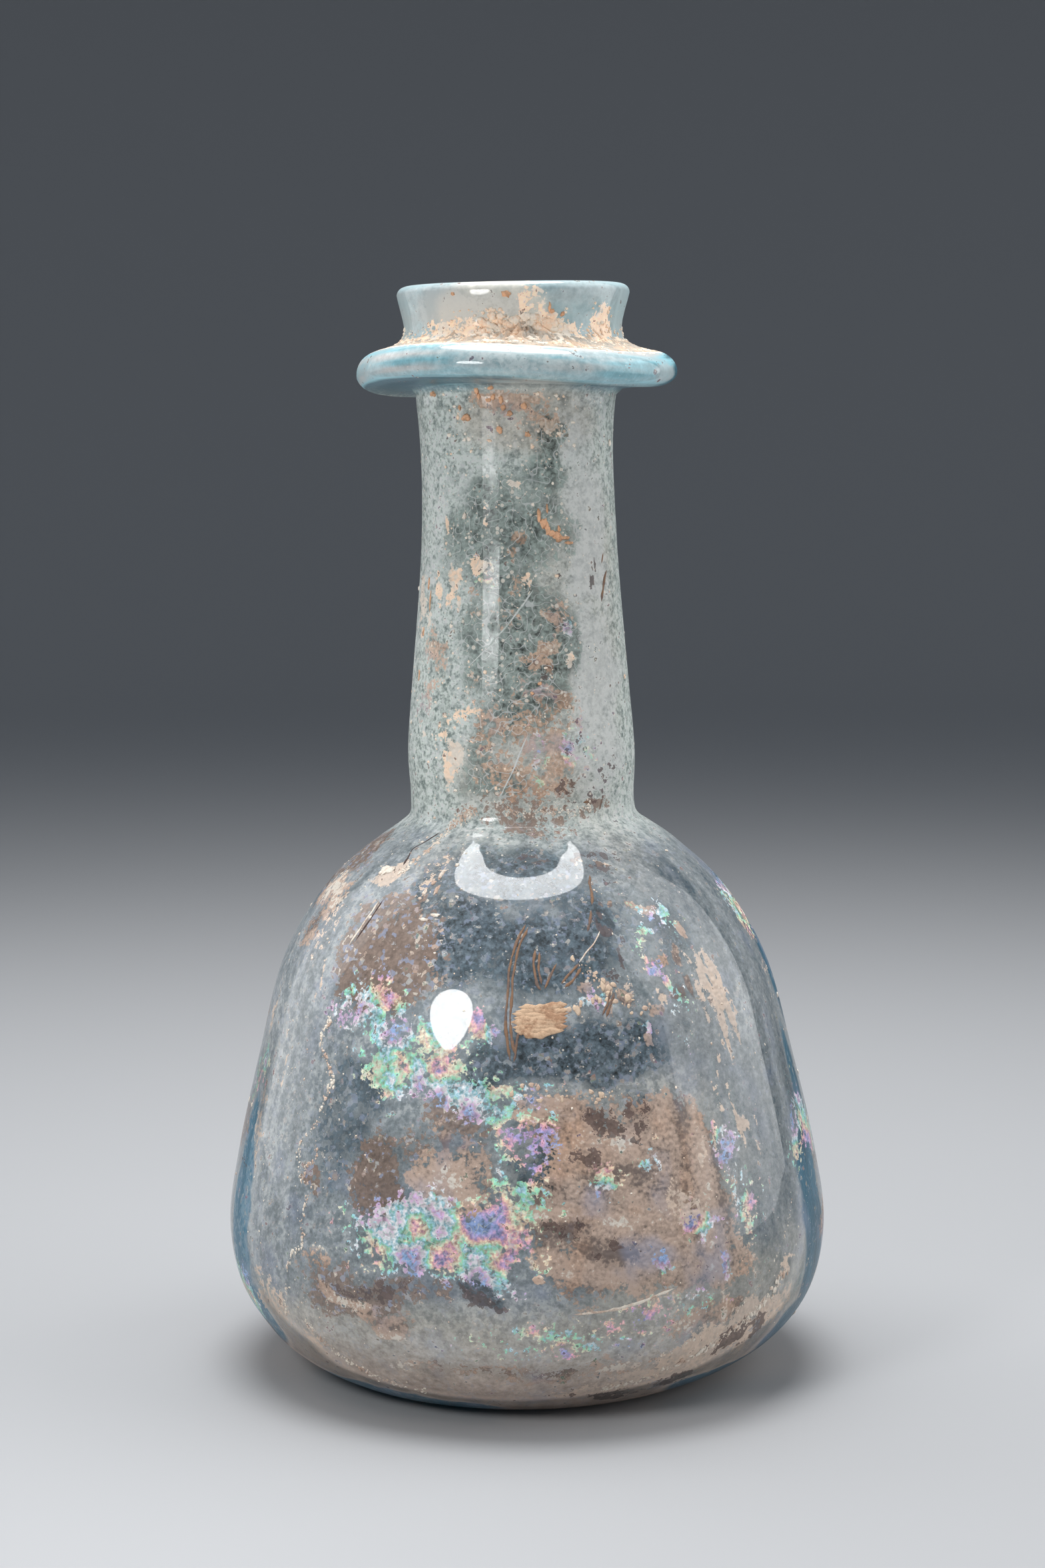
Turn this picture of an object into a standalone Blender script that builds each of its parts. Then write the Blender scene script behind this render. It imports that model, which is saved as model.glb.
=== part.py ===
"""Free-blown glass bottle: a pear-shaped body on a slightly hollow base, a tall neck, and a
flared lip above a flat collar. Metres, +Z up, origin under the body's centre at the base.

The wall is one profile turned about Z. A hand-blown bottle is never true, so the turned shape
is then leaned, tilted and warped by the small amounts named below.
"""

import math

import bpy
import numpy as np

MM = 0.001

# Heights and radii that the whole profile is worked out from, in millimetres
HEIGHT = 150.0
BODY_RADIUS = 42.0
BODY_WIDEST_Z = 20.0
SHOULDER_Z = 74.0
NECK_FOOT_RADIUS = 15.85
NECK_FOOT_Z = 86.0
NECK_TOP_RADIUS = 13.3
NECK_TOP_Z = 127.0
COLLAR_RADIUS = 22.15
COLLAR_Z = 138.6
COLLAR_RISE = 2.75
COLLAR_FALL = 2.0
WAIST_RADIUS = 15.05
WAIST_Z = 143.6
LIP_RADIUS = 16.05
LIP_THICKNESS = 2.3

# Glass thickness
NECK_WALL = 2.0
BODY_WALL = 2.0
BASE_WALL = 3.2

# The foot: a flat resting ring around a shallow hollow
RING_OUTER = 24.0
RING_INNER = 20.0
BASE_HOLLOW = 2.4

# How far the centre line has strayed sideways, as (height, offset), in millimetres
CENTRE_LINE = [
    (14.0, 0.0),
    (36.0, -0.05),
    (58.0, -0.3),
    (72.0, -0.22),
    (75.5, -0.1),
    (78.5, -0.6),
    (83.0, -0.75),
    (92.0, -0.9),
    (118.0, -1.15),
    (134.0, -1.6),
    (139.0, -1.45),
    (143.5, -1.95),
    (150.0, -1.95),
]
FOOT_SHIFT = (-0.55, -0.7)

# A flat worn or pressed into the foot at one side, and the lip's tilt and sideways rise
FOOT_FLAT = 0.6
FOOT_FLAT_TURN = math.radians(-50.0)
LIP_TILT = 0.28
LIP_RISE = 0.42

# The collar's warp: a tip to one side and a saddle with two high and two low edges
COLLAR_TIP = 0.40
COLLAR_TIP_TURN = math.radians(10.0)
COLLAR_SADDLE = 0.75
COLLAR_SADDLE_TURN = math.radians(52.0)

SIDES = 60
ARC_STEPS = 6

GLASS_COLOUR = (0.55, 0.71, 0.72, 1.0)
GLASS_ROUGHNESS = 0.12
GLASS_IOR = 1.51


def smooth_step(t):
    """0 below t = 0, 1 above t = 1, and an even S between."""
    t = np.clip(t, 0.0, 1.0)
    return t * t * (3.0 - 2.0 * t)


def arc(centre, radial, upright, start, end, steps=ARC_STEPS):
    """Points on an ellipse about centre, from angle start to end in degrees, 0 being outwards."""
    angles = np.radians(np.linspace(start, end, steps + 1))
    r = centre[0] + radial * np.cos(angles)
    z = centre[1] + upright * np.sin(angles)
    return np.column_stack([r, z])


def blends(points, knots, reach, t):
    """Each point and the next, mixed by where t falls between the knots reach apart."""
    mixed = []
    for first, second, low, high in zip(points, points[1:], knots, knots[reach:]):
        share = (t - low) / (high - low)
        mixed.append(first + (second - first) * share)
    return mixed


def curve_through(points, steps):
    """A centripetal Catmull-Rom curve through the points, with steps points to each span."""
    p = np.array(points, float)
    p = np.vstack([2 * p[0] - p[1], p, 2 * p[-1] - p[-2]])
    chords = np.linalg.norm(np.diff(p, axis=0), axis=1)
    knots = np.concatenate([[0.0], np.cumsum(np.sqrt(chords))])
    made = []
    for i in range(1, len(p) - 2):
        for t in np.linspace(knots[i], knots[i + 1], steps, endpoint=False):
            level = p[i - 1 : i + 3]
            for reach in (1, 2):
                level = blends(level, knots[i - 1 : i + 3], reach, t)
            span = (t - knots[i]) / (knots[i + 1] - knots[i])
            made.append(level[0] + (level[1] - level[0]) * span)
    made.append(p[-2])
    return np.array(made)


def outer_neck():
    """The neck's outside, from under the collar down to the crease above the shoulder."""
    return [
        (NECK_TOP_RADIUS + 0.55, COLLAR_Z - COLLAR_FALL - 1.0),
        (NECK_TOP_RADIUS + 0.15, NECK_TOP_Z + 4.0),
        (NECK_TOP_RADIUS, NECK_TOP_Z - 2.0),
        (NECK_TOP_RADIUS + 0.35, NECK_TOP_Z - 13.0),
        (NECK_TOP_RADIUS + 1.1, NECK_TOP_Z - 23.0),
        (NECK_FOOT_RADIUS - 0.75, NECK_FOOT_Z + 10.0),
        (NECK_FOOT_RADIUS, NECK_FOOT_Z),
        (NECK_FOOT_RADIUS - 0.25, NECK_FOOT_Z - 6.5),
        (NECK_FOOT_RADIUS + 0.1, SHOULDER_Z + 3.5),
    ]


def outer_body():
    """The body's outside, from the shoulder down to the resting ring."""
    return [
        (NECK_FOOT_RADIUS + 1.8, SHOULDER_Z + 2.1),
        (NECK_FOOT_RADIUS + 5.1, SHOULDER_Z - 0.2),
        (BODY_RADIUS - 14.6, SHOULDER_Z - 6.0),
        (BODY_RADIUS - 8.4, SHOULDER_Z - 16.0),
        (BODY_RADIUS - 4.5, SHOULDER_Z - 30.0),
        (BODY_RADIUS - 1.3, BODY_WIDEST_Z + 10.0),
        (BODY_RADIUS, BODY_WIDEST_Z),
        (BODY_RADIUS - 1.5, BODY_WIDEST_Z - 8.0),
        (BODY_RADIUS - 5.5, BODY_WIDEST_Z - 14.0),
        (BODY_RADIUS - 9.7, BODY_WIDEST_Z - 17.35),
        (RING_OUTER + 4.7, 0.8),
    ]


def inner_body():
    """The hollow's outline, from the middle of the floor up to the foot of the neck."""
    r = BODY_RADIUS - BODY_WALL
    return [
        (RING_INNER - 7.0, BASE_WALL + 1.4),
        (RING_OUTER - 1.0, BASE_WALL + 0.25),
        (r - 8.7, BASE_WALL + 2.2),
        (r - 3.6, BASE_WALL + 6.4),
        (r - 0.5, BODY_WIDEST_Z - 5.5),
        (r, BODY_WIDEST_Z + 2.0),
        (r - 1.6, BODY_WIDEST_Z + 11.5),
        (r - 4.7, SHOULDER_Z - 31.0),
        (r - 8.8, SHOULDER_Z - 17.4),
        (r - 15.0, SHOULDER_Z - 8.0),
        (NECK_FOOT_RADIUS + 3.3, SHOULDER_Z - 2.4),
        (NECK_FOOT_RADIUS - 1.0, SHOULDER_Z + 0.6),
    ]


def inner_neck():
    """The neck's bore, from its foot up to the lip."""
    return [
        (NECK_FOOT_RADIUS - NECK_WALL - 0.6, SHOULDER_Z + 4.6),
        (NECK_FOOT_RADIUS - NECK_WALL, NECK_FOOT_Z + 0.5),
        (NECK_FOOT_RADIUS - NECK_WALL - 0.9, NECK_FOOT_Z + 12.0),
        (NECK_TOP_RADIUS - NECK_WALL + 0.55, NECK_TOP_Z - 15.0),
        (NECK_TOP_RADIUS - NECK_WALL, NECK_TOP_Z),
        (NECK_TOP_RADIUS - NECK_WALL + 0.35, COLLAR_Z - 3.0),
        (WAIST_RADIUS - 2.7, COLLAR_Z + 3.0),
        (WAIST_RADIUS - 1.9, WAIST_Z + 2.5),
    ]


def wall_profile():
    """The closed wall as (radius, height): up the inside, over the lip and down the outside."""
    nose = 2.85
    core = (COLLAR_RADIUS - nose, COLLAR_Z)
    half = LIP_THICKNESS / 2
    lip = arc((LIP_RADIUS - half, HEIGHT - half), half, half, 180, 0)
    waist = [
        lip[-1],
        (WAIST_RADIUS, WAIST_Z),
        (WAIST_RADIUS + 1.5, COLLAR_Z + COLLAR_RISE + 0.8),
        (core[0] - 0.6, COLLAR_Z + COLLAR_RISE + 0.1),
    ]
    collar_top = arc(core, nose, COLLAR_RISE, 90, 0, 4)
    collar_under = arc(core, nose, COLLAR_FALL, 0, -90, 3)
    collar_root = [(NECK_TOP_RADIUS + 1.5, COLLAR_Z - COLLAR_FALL - 0.1)]
    floor = [(0.0, BASE_HOLLOW + BASE_WALL)]
    foot = [
        (RING_OUTER, 0.0),
        (RING_INNER, 0.0),
        (RING_INNER - 3.2, 0.75),
        (RING_INNER - 10.0, BASE_HOLLOW - 0.5),
        (0.0, BASE_HOLLOW),
    ]
    inside = curve_through(floor + inner_body() + inner_neck() + [lip[0]], 1)
    above = curve_through(waist, 2)
    neck = curve_through(outer_neck() + outer_body()[:1], 1)
    body = curve_through(outer_body(), 2)
    collar = np.vstack([collar_top, collar_under[1:], collar_root])
    return np.vstack([inside[:-1], lip, above[1:], collar, neck[:-1], body, foot])


def turned_wall(profile):
    """The profile turned about Z by a Screw modifier, as a plain mesh object."""
    mesh = bpy.data.meshes.new("wall_profile")
    points = [(r * MM, 0.0, z * MM) for r, z in profile]
    mesh.from_pydata(points, [(i, i + 1) for i in range(len(points) - 1)], [])
    turned = bpy.data.objects.new("wall_profile", mesh)
    bpy.context.scene.collection.objects.link(turned)
    screw = turned.modifiers.new("turn", "SCREW")
    screw.axis = "Z"
    screw.steps = screw.render_steps = SIDES
    screw.use_merge_vertices = True
    screw.merge_threshold = 0.00005
    bpy.context.view_layer.update()
    evaluated = turned.evaluated_get(bpy.context.evaluated_depsgraph_get())
    wall = bpy.data.objects.new("glass_bottle", bpy.data.meshes.new_from_object(evaluated))
    bpy.data.objects.remove(turned)
    return wall


def hand_work(points):
    """Moves the turned wall's points, in millimetres, as the blower's hand left them."""
    x, y, z = points.T
    radius, turn = np.hypot(x, y), np.arctan2(y, x)
    stray = curve_through(CENTRE_LINE, 8)
    offset = np.interp(z, stray[:, 0], stray[:, 1])
    at_foot = 1.0 - smooth_step(z / 9.0)
    away = np.angle(np.exp(1j * (turn - FOOT_FLAT_TURN)))
    flat = at_foot * FOOT_FLAT * np.exp(-((away / 0.6) ** 2)) * smooth_step((radius - 10.0) / 15.0)
    on_lip = smooth_step((z - COLLAR_Z - COLLAR_RISE) / 6.0)
    on_collar = smooth_step((radius - WAIST_RADIUS) / 5.5) * smooth_step((z - 133.0) / 2.0)
    saddle = COLLAR_SADDLE * np.cos(2.0 * (turn - COLLAR_SADDLE_TURN))
    tip = COLLAR_TIP * np.cos(turn - COLLAR_TIP_TURN)
    side = x / LIP_RADIUS
    lift = on_collar * (1.0 - on_lip) * (saddle + tip) + on_lip * side * (LIP_TILT + LIP_RISE * side)
    x = x + offset + at_foot * FOOT_SHIFT[0] - flat * np.cos(turn)
    y = y + at_foot * FOOT_SHIFT[1] - flat * np.sin(turn)
    return np.column_stack([x, y, z + lift])


def aqua_glass():
    """Pale blue-green glass, weathered dull."""
    glass = bpy.data.materials.new("aqua_glass")
    glass.use_nodes = True
    shader = glass.node_tree.nodes["Principled BSDF"]
    shader.inputs["Base Color"].default_value = GLASS_COLOUR
    shader.inputs["Metallic"].default_value = 0.0
    shader.inputs["Roughness"].default_value = GLASS_ROUGHNESS
    shader.inputs["IOR"].default_value = GLASS_IOR
    shader.inputs["Transmission Weight"].default_value = 0.8
    return glass


def glass_bottle():
    """The whole bottle, blown as one piece."""
    bottle = turned_wall(wall_profile())
    mesh = bottle.data
    flat = np.empty(len(mesh.vertices) * 3)
    mesh.vertices.foreach_get("co", flat)
    shaped = hand_work(flat.reshape(-1, 3) / MM) * MM
    mesh.vertices.foreach_set("co", shaped.ravel())
    mesh.update()
    mesh.shade_smooth()
    mesh.set_sharp_from_angle(angle=math.radians(40))
    mesh.materials.append(aqua_glass())
    return bottle


def main():
    for old in list(bpy.data.objects):
        bpy.data.objects.remove(old)
    parts = bpy.data.collections.new("Glass bottle")
    bpy.context.scene.collection.children.link(parts)
    parts.objects.link(glass_bottle())


main()
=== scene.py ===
"""A free-blown glass bottle, weathered by long burial, on a pale studio floor.

The glass is one turned wall with an inside and an outside. Its film, stains and iridescence are
painted by masks on the wall's points, with painted light and shade among them, and its earth,
lime crusts and root fibres are separate pieces that lie on the glass.
"""

import math

import bpy
import numpy as np
from bpy.props import FloatProperty, FloatVectorProperty, IntProperty, PointerProperty
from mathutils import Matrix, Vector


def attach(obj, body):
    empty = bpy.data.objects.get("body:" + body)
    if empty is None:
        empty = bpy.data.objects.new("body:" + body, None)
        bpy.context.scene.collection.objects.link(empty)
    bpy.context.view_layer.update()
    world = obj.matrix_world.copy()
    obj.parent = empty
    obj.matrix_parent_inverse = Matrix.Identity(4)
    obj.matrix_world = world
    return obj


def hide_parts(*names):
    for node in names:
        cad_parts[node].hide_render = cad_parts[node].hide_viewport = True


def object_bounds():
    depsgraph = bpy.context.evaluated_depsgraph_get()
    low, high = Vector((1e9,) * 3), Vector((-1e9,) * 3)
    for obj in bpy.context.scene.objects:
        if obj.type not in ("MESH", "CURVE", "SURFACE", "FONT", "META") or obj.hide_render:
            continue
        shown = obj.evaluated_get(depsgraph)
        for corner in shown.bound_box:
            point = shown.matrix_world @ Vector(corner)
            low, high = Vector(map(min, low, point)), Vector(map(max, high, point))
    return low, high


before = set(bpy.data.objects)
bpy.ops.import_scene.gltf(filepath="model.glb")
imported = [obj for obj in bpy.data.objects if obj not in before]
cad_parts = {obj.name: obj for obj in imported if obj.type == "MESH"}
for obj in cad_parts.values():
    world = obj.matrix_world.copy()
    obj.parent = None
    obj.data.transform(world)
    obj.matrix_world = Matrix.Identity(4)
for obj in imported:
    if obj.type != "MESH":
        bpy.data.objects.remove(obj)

bl_info = {
    "name": "Weathered Glass Bottle",
    "version": (1, 0, 0),
    "blender": (4, 5, 0),
    "location": "3D View > Sidebar > Glass Bottle",
    "description": "Builds a free-blown glass bottle with its film, earth and crusts, and a studio for it",
    "category": "Add Mesh",
}

MM = 0.001
CAD_NODE = "glass_bottle"
CAD_BOX = [list(corner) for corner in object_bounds()]

# Heights along the bottle, in millimetres
HEIGHT = 150.0
BODY_WIDEST_Z = 20.0
SHOULDER_Z = 74.0
NECK_FOOT_Z = 86.0
NECK_TOP_Z = 127.0
COLLAR_Z = 138.6
COLLAR_RISE = 2.75
COLLAR_FALL = 2.0
COLLAR_NOSE = 2.85
WAIST_Z = 143.6
LIP_THICKNESS = 2.3
GROOVE_TOP = 142.5
RING_OUTER = 24.0
RING_INNER = 20.0
BASE_HOLLOW = 2.4

# How far the centre line has strayed sideways, as (height, offset), in millimetres
CENTRE_LINE = [
    (14, 0), (36, -0.05), (58, -0.3), (72, -0.22), (75.5, -0.1), (78.5, -0.6), (83, -0.75), (92, -0.9),
    (118, -1.15), (134, -1.6), (139, -1.45), (143.5, -1.95), (150, -1.95),
]

# How the lip, the collar and the foot stray from round, in millimetres, with widths from the axis
LIP_WIDTH = 16.05
WAIST_WIDTH = 15.05
FOOT_HEIGHT = 9.0
FOOT_SHIFT = (-0.55, -0.7)
FOOT_FLAT = 0.6
FOOT_FLAT_TURN = math.radians(-50.0)
LIP_TILT = 0.28
LIP_RISE = 0.42
COLLAR_TIP = 0.40
COLLAR_TIP_TURN = math.radians(10.0)
COLLAR_SADDLE = 0.75
COLLAR_SADDLE_TURN = math.radians(52.0)
SHARP_ANGLE = math.radians(50.0)

# The floor, a disk that sweeps up to a round wall, in metres
FLOOR_REACH = 1.3
SWEEP = 0.7
WALL_TOP = 2.0
FLOOR_SIDES = 96

# Each lamp's shape, size, place and the point it faces, in metres, and its spread in degrees
OVERHEAD = ("DISK", (0.44, 0.44), (-0.02, 0.06, 0.64), (0.0, 0.0, 0.05), 130.0)
KEY = ("ELLIPSE", (0.066, 0.070), (-0.106, -0.170, 0.130), (-0.01, -0.03, 0.054), 120.0)
RIGHT_CARD = ("RECTANGLE", (0.55, 0.6), (0.46, 0.02, 0.26), (0.0, 0.0, 0.07), 130.0)
LEFT_CARD = ("RECTANGLE", (0.3, 0.6), (-0.42, 0.2, 0.26), (0.0, 0.0, 0.07), 130.0)
LEFT_SHARE = 0.35
SKY = (0.82, 0.9, 1.0, 1.0)

# The camera, placed in metres, with its lens and sensor in millimetres
CAMERA_PLACE = (-0.00066, -0.400, 0.121)
CAMERA_TILT = math.radians(84.35)
LENS = 65.8
SENSOR_WIDTH = 36.0

# Sizes of the film's patterns, in millimetres
MOTTLE_SIZE = 1.4
GRAIN_SIZE = 0.5
FLAKE_SIZE = 0.66
CURL_SIZE = 1.3
RELIEF_SIZE = 0.6

# Heights, in millimetres, between which one film passes into the next
NECK_FILM = (72.0, 80.0)
COLLAR_FILM = (135.2, 136.8)
FOOT_FILM = (18.0, 3.0)

# What a lamp's light keeps of its colour behind the outer and the inner face
OUTER_SHADE = (0.11, 0.125, 0.125)
INNER_SHADE = (0.12, 0.13, 0.13)

# Where each finish lies on the wall. A place is the turn to the right of the front in degrees, then
# height, half width, half height in millimetres, and strength.
# Clear places are where the film has come away; they are painted with slate, the painted shade of the dark
# inside
CLEAR_PLACES = [
    (-13.8, 63, 4.6, 5.2, 1), (4, 62.5, 9, 5, 0.95), (10, 50, 13, 4, 1), (-7, 49, 6, 3.2, 0.9),
    (-39, 36.5, 5, 7.5, 0.6), (-36, 44.5, 5, 4.5, 0.6), (33, 63.5, 7, 6, 0.5), (40, 40, 5, 5, 0.35),
    (-14, 97, 5, 9, 0.8), (1, 36.5, 3.2, 4.5, 0.9), (22, 41.5, 3.5, 2.2, 0.9), (18, 66, 6, 4, 0.6),
    (-24, 69.5, 5, 3, 0.65), (-9, 20.6, 5, 1, 1), (-2, 71, 11, 3.4, 0.75), (5, 103, 7, 9, 1.1),
    (-6, 97, 8, 9, 0.9), (-10, 118, 8, 10, 0.75), (8, 119, 5, 9, 0.85), (-14, 84, 5, 4, 0.8),
    (19, 126, 2.4, 6, 1), (-20, 88, 3, 5, 0.7), (-38, 116, 3, 8, 0.45), (-45, 92, 3, 6, 0.42),
    (150, 102, 6, 12, 0.8), (214, 120, 5, 9, 0.7), (112, 92, 4, 7, 0.6), (252, 100, 4, 10, 0.6),
]
BROWN_PLACES = [
    (-35, 61.5, 9, 7, 1), (-29, 33, 4, 4.2, 0.8), (-20, 38, 4, 3, 0.5), (-30, 19.6, 9, 2.6, 0.8),
    (-36, 16.5, 5, 2, 0.8), (7, 41, 6, 2.6, 0.8), (10, 29.5, 3, 1.6, 0.9), (-44, 31, 2.6, 2.4, 0.7),
    (-12, 42, 5, 3, 0.6), (8, 80, 9, 4, 0.5), (43, 79, 3.6, 1.8, 0.8), (26, 83, 3, 2, 0.5),
]
EARTH_PLACES = [
    (-13, 34.6, 6.2, 5.6, 0.72), (20, 31.5, 14.5, 11.5, 1.3), (34, 36, 6, 8, 0.78), (30, 22, 10, 4, 0.8),
    (5, 43, 7, 2, 0.7), (11.5, 58, 1.2, 0.8, 1), (13.5, 60.8, 1.3, 0.5, 1), (16.5, 57.6, 1.6, 0.6, 1),
    (20.5, 58.6, 1.1, 0.8, 1), (23.5, 56, 1.7, 0.8, 1.1), (17.6, 55.2, 1.8, 0.6, 0.9),
    (26, 50.5, 1.7, 0.7, 1), (31, 60.6, 1.2, 1, 0.8), (28, 54.8, 1, 0.5, 0.9), (36, 60, 0.8, 1.2, 0.9),
    (38.6, 56.4, 0.7, 1.6, 0.9), (33, 67.4, 1.4, 0.5, 0.8), (26.4, 68, 1, 0.6, 0.8),
    (40, 63.6, 1, 0.8, 0.8), (34.6, 56.4, 1.6, 1.2, 0.8), (36, 14.5, 9, 3, 0.6), (0, 8.5, 20, 2, 0.45),
    (-28, 15.6, 4, 1.6, 0.7), (-35, 18, 4, 1.2, 0.7), (-24, 21.4, 3, 0.8, 0.6), (-40, 22, 3, 1.4, 0.6),
    (-13, 9, 12, 1.6, 0.5), (13, 86, 6, 6, 0.62), (-3, 84, 6, 4.6, 0.5), (8, 93, 5, 4, 0.55),
    (-20, 90, 3, 2.6, 0.6), (20, 93.6, 1.4, 1, 0.8), (14, 101, 1.2, 0.9, 0.9), (14.6, 98.6, 1, 0.7, 0.9),
    (-14, 108, 3, 5, 0.42), (-26, 93.5, 2.4, 3, 0.5), (6, 99, 2.4, 1.6, 0.5), (2, 111.5, 2, 2, 0.55),
    (-58, 100, 2, 8, 0.5), (172, 88, 6, 5, 0.6), (232, 108, 3, 4, 0.6), (108, 122, 3, 5, 0.5),
    (190, 131, 8, 2, 0.6), (-12, 90, 6, 3, 0.5), (14, 131, 3.8, 4.4, 0.4), (10, 124.5, 1.6, 1.6, 0.5),
    (20, 106.5, 3, 3.6, 0.62), (-6, 115.5, 2, 1.8, 0.75), (-12, 134, 6, 1.6, 0.6),
]
CRUST_PLACES = [
    (-40, 86, 2.7, 2.3, 1.2), (-38.6, 83.4, 1.1, 1.7, 1), (-34, 92, 1.6, 0.8, 0.7), (-26, 88, 1, 1.2, 0.6),
    (-50.8, 71.1, 1.7, 1.2, 0.9), (-35.4, 110.3, 1, 2.6, 1), (-34, 106, 0.7, 1.6, 1),
    (-50, 109.6, 0.9, 2.2, 0.9), (-44, 106.6, 0.7, 1, 0.9), (-47, 90.5, 3, 1.6, 0.6),
    (-44, 118.2, 0.9, 1.1, 0.9), (-6, 119.2, 1.2, 1, 0.85), (-27, 119.2, 1.4, 1.5, 0.85),
    (-22.7, 112, 1.6, 0.9, 0.9), (2, 124.6, 1.4, 1.2, 0.7), (6, 110.6, 1, 1.2, 0.75),
    (-68, 108, 1.6, 4, 0.7), (24, 99, 0.9, 0.9, 0.8), (140, 112, 1.2, 2.6, 0.9), (204, 94, 1.6, 1.4, 0.9),
    (260, 118, 1.2, 2, 0.9), (98, 100, 1, 2.4, 0.9), (178, 120, 1.4, 1, 0.8), (-62, 62, 2, 5, 0.45),
    (-66, 36, 2, 6, 0.5), (-58, 14, 5, 3, 0.6), (-47, 10, 4, 2.4, 0.6), (-29, 71, 1.4, 2.2, 0.4),
    (24, 72.5, 3, 1.6, 0.5), (30, 7, 7, 1.6, 0.8), (39, 9.6, 8, 2.4, 1.05), (49, 13.4, 6, 2.4, 1),
    (56, 18, 3, 2, 0.7), (18, 5, 7, 1.3, 0.8), (41, 60, 1.4, 1, 0.7), (44.6, 58.6, 0.7, 3.4, 1.1),
    (47.4, 57, 0.6, 4.4, 1.2), (49.6, 54.6, 0.55, 4.4, 1.2), (46, 52, 0.5, 4, 1), (51.8, 52, 0.45, 3.4, 1),
    (42.4, 54.6, 0.5, 3, 0.9), (44.6, 44.6, 0.4, 5, 0.9), (47.6, 40.6, 0.4, 5, 0.9),
    (40.6, 40, 0.4, 4.4, 0.8), (37, 38.4, 0.4, 4, 0.8), (50.6, 36, 0.4, 5, 0.7), (-55, 56, 0.4, 5, 0.6),
    (-60, 44, 0.4, 6, 0.6), (22.6, 58, 1.2, 0.5, 0.8), (25, 60.6, 0.8, 0.5, 0.8),
    (29.6, 57.4, 0.9, 0.6, 0.8), (26, 54.6, 1.4, 0.4, 0.7), (31, 30, 2.6, 3, 0.6), (0, 142, 90, 0.9, 0.95),
    (180, 142, 90, 0.9, 0.8), (5, 143.6, 8, 2, 0.9), (-28, 143.6, 6, 1.8, 0.72), (52, 144, 2.4, 3, 0.75),
    (10, 147.5, 2, 2.4, 0.6),
]
SHEEN_PLACES = [
    (-24.5, 48.8, 7, 4.6, 0.95), (-9, 45, 9, 2.4, 0.85), (-9, 53.4, 2.6, 2.1, 1),
    (-15.5, 26.8, 14, 5.2, 0.95), (-1, 40.5, 4, 3.6, 0.5), (-3, 31, 4, 5, 0.7), (14, 34, 3, 2, 0.55),
    (24, 35, 3, 1.6, 0.5), (25.5, 22.8, 1.6, 1.8, 1), (36, 22.3, 1.6, 1.5, 1), (46, 27, 2.8, 4.4, 0.8),
    (33, 28, 2.4, 3, 0.75), (43, 36, 2.6, 5, 0.6), (13, 56.5, 2.4, 1.5, 1), (29, 60, 1, 0.9, 0.8),
    (34, 55, 2, 1.2, 0.5), (31, 57.8, 0.8, 0.6, 0.9), (28, 52, 0.8, 0.6, 0.8), (36, 50, 1, 0.8, 0.8),
    (30, 64.6, 1.2, 0.6, 0.8), (36, 66, 1.6, 2, 0.6), (27, 63, 1, 0.8, 0.7), (-36, 55, 6, 3.4, 0.62),
    (26, 16.5, 8, 1.8, 0.42), (4, 14, 12, 2.6, 0.36), (12, 86, 2, 4, 0.55), (34, 88, 2.4, 2.6, 0.6),
    (26, 103.5, 0.8, 0.9, 1), (-19, 111, 1.6, 2.4, 0.55),
]
STAIN_PLACES = [
    (40, 80.6, 3.4, 1.6, 0.6), (30, 83, 2.6, 1.2, 0.5), (36, 88.5, 2, 1.4, 0.5), (46, 85, 1.4, 1.8, 0.45),
    (30, 74, 4.5, 1.2, 0.75), (26, 71, 2, 0.9, 0.9), (14, 41.6, 4, 0.9, 1.1), (22, 40, 2, 2.2, 1.1),
    (-10, 20.2, 5, 0.6, 1.4), (5, 28.8, 3.6, 0.6, 1.2), (10, 37, 4, 0.5, 1), (19.4, 61.6, 0.4, 2.6, 1.2),
    (17.6, 59.4, 2, 0.4, 1), (20, 65.6, 0.4, 2, 1), (13, 56.8, 1.6, 0.4, 0.9), (-28, 20, 5, 1, 0.9),
    (16, 24, 4, 0.6, 0.8), (44, 9.6, 1.9, 1.6, 1.3), (22, 4, 2.4, 1.2, 1.1), (33, 5.2, 2.2, 1, 1.1),
    (50, 11, 2.4, 1.8, 0.9), (13, 4.6, 1.6, 0.8, 0.9), (2, 71.8, 3.4, 1, 0.6), (50, 110.6, 0.5, 2.4, 1),
    (23, 109, 0.9, 0.8, 0.9), (11, 97.5, 0.9, 1, 0.8),
]
# Milk places are mostly thick film, and some are painted light: the thin streaks along the collar near
# heights 138 to 140 are painted highlights of the softbox, the tall strip down the neck's right is partly a
# painted reflection of the right card, and the wide band low at the front is painted light at the foot
MILK_AND_HIGHLIGHT_PLACES = [
    (38, 48, 5, 5, 0.3), (-62, 48, 5, 18, 0.3), (0, 11, 34, 3.6, 0.5), (43, 106, 5.6, 30, 0.85),
    (-60, 106, 3, 26, 0.35), (-36, 146.6, 5.5, 3.4, 1), (-12, 146.4, 8, 2.4, 0.8), (30, 147, 7, 2.6, 0.4),
    (28, 66, 3, 3, 0.5), (33, 60, 3, 2.6, 0.45), (25, 70, 3.6, 2, 0.4), (-4, 140.4, 10, 0.7, 1),
    (2, 138.8, 12, 1.2, 0.8), (-34, 140.2, 5, 0.6, 0.7), (34, 140, 6, 0.6, 0.7), (-75, 139, 5, 2, 0.6),
    (68, 138.5, 4, 1.4, 0.9),
]

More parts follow.
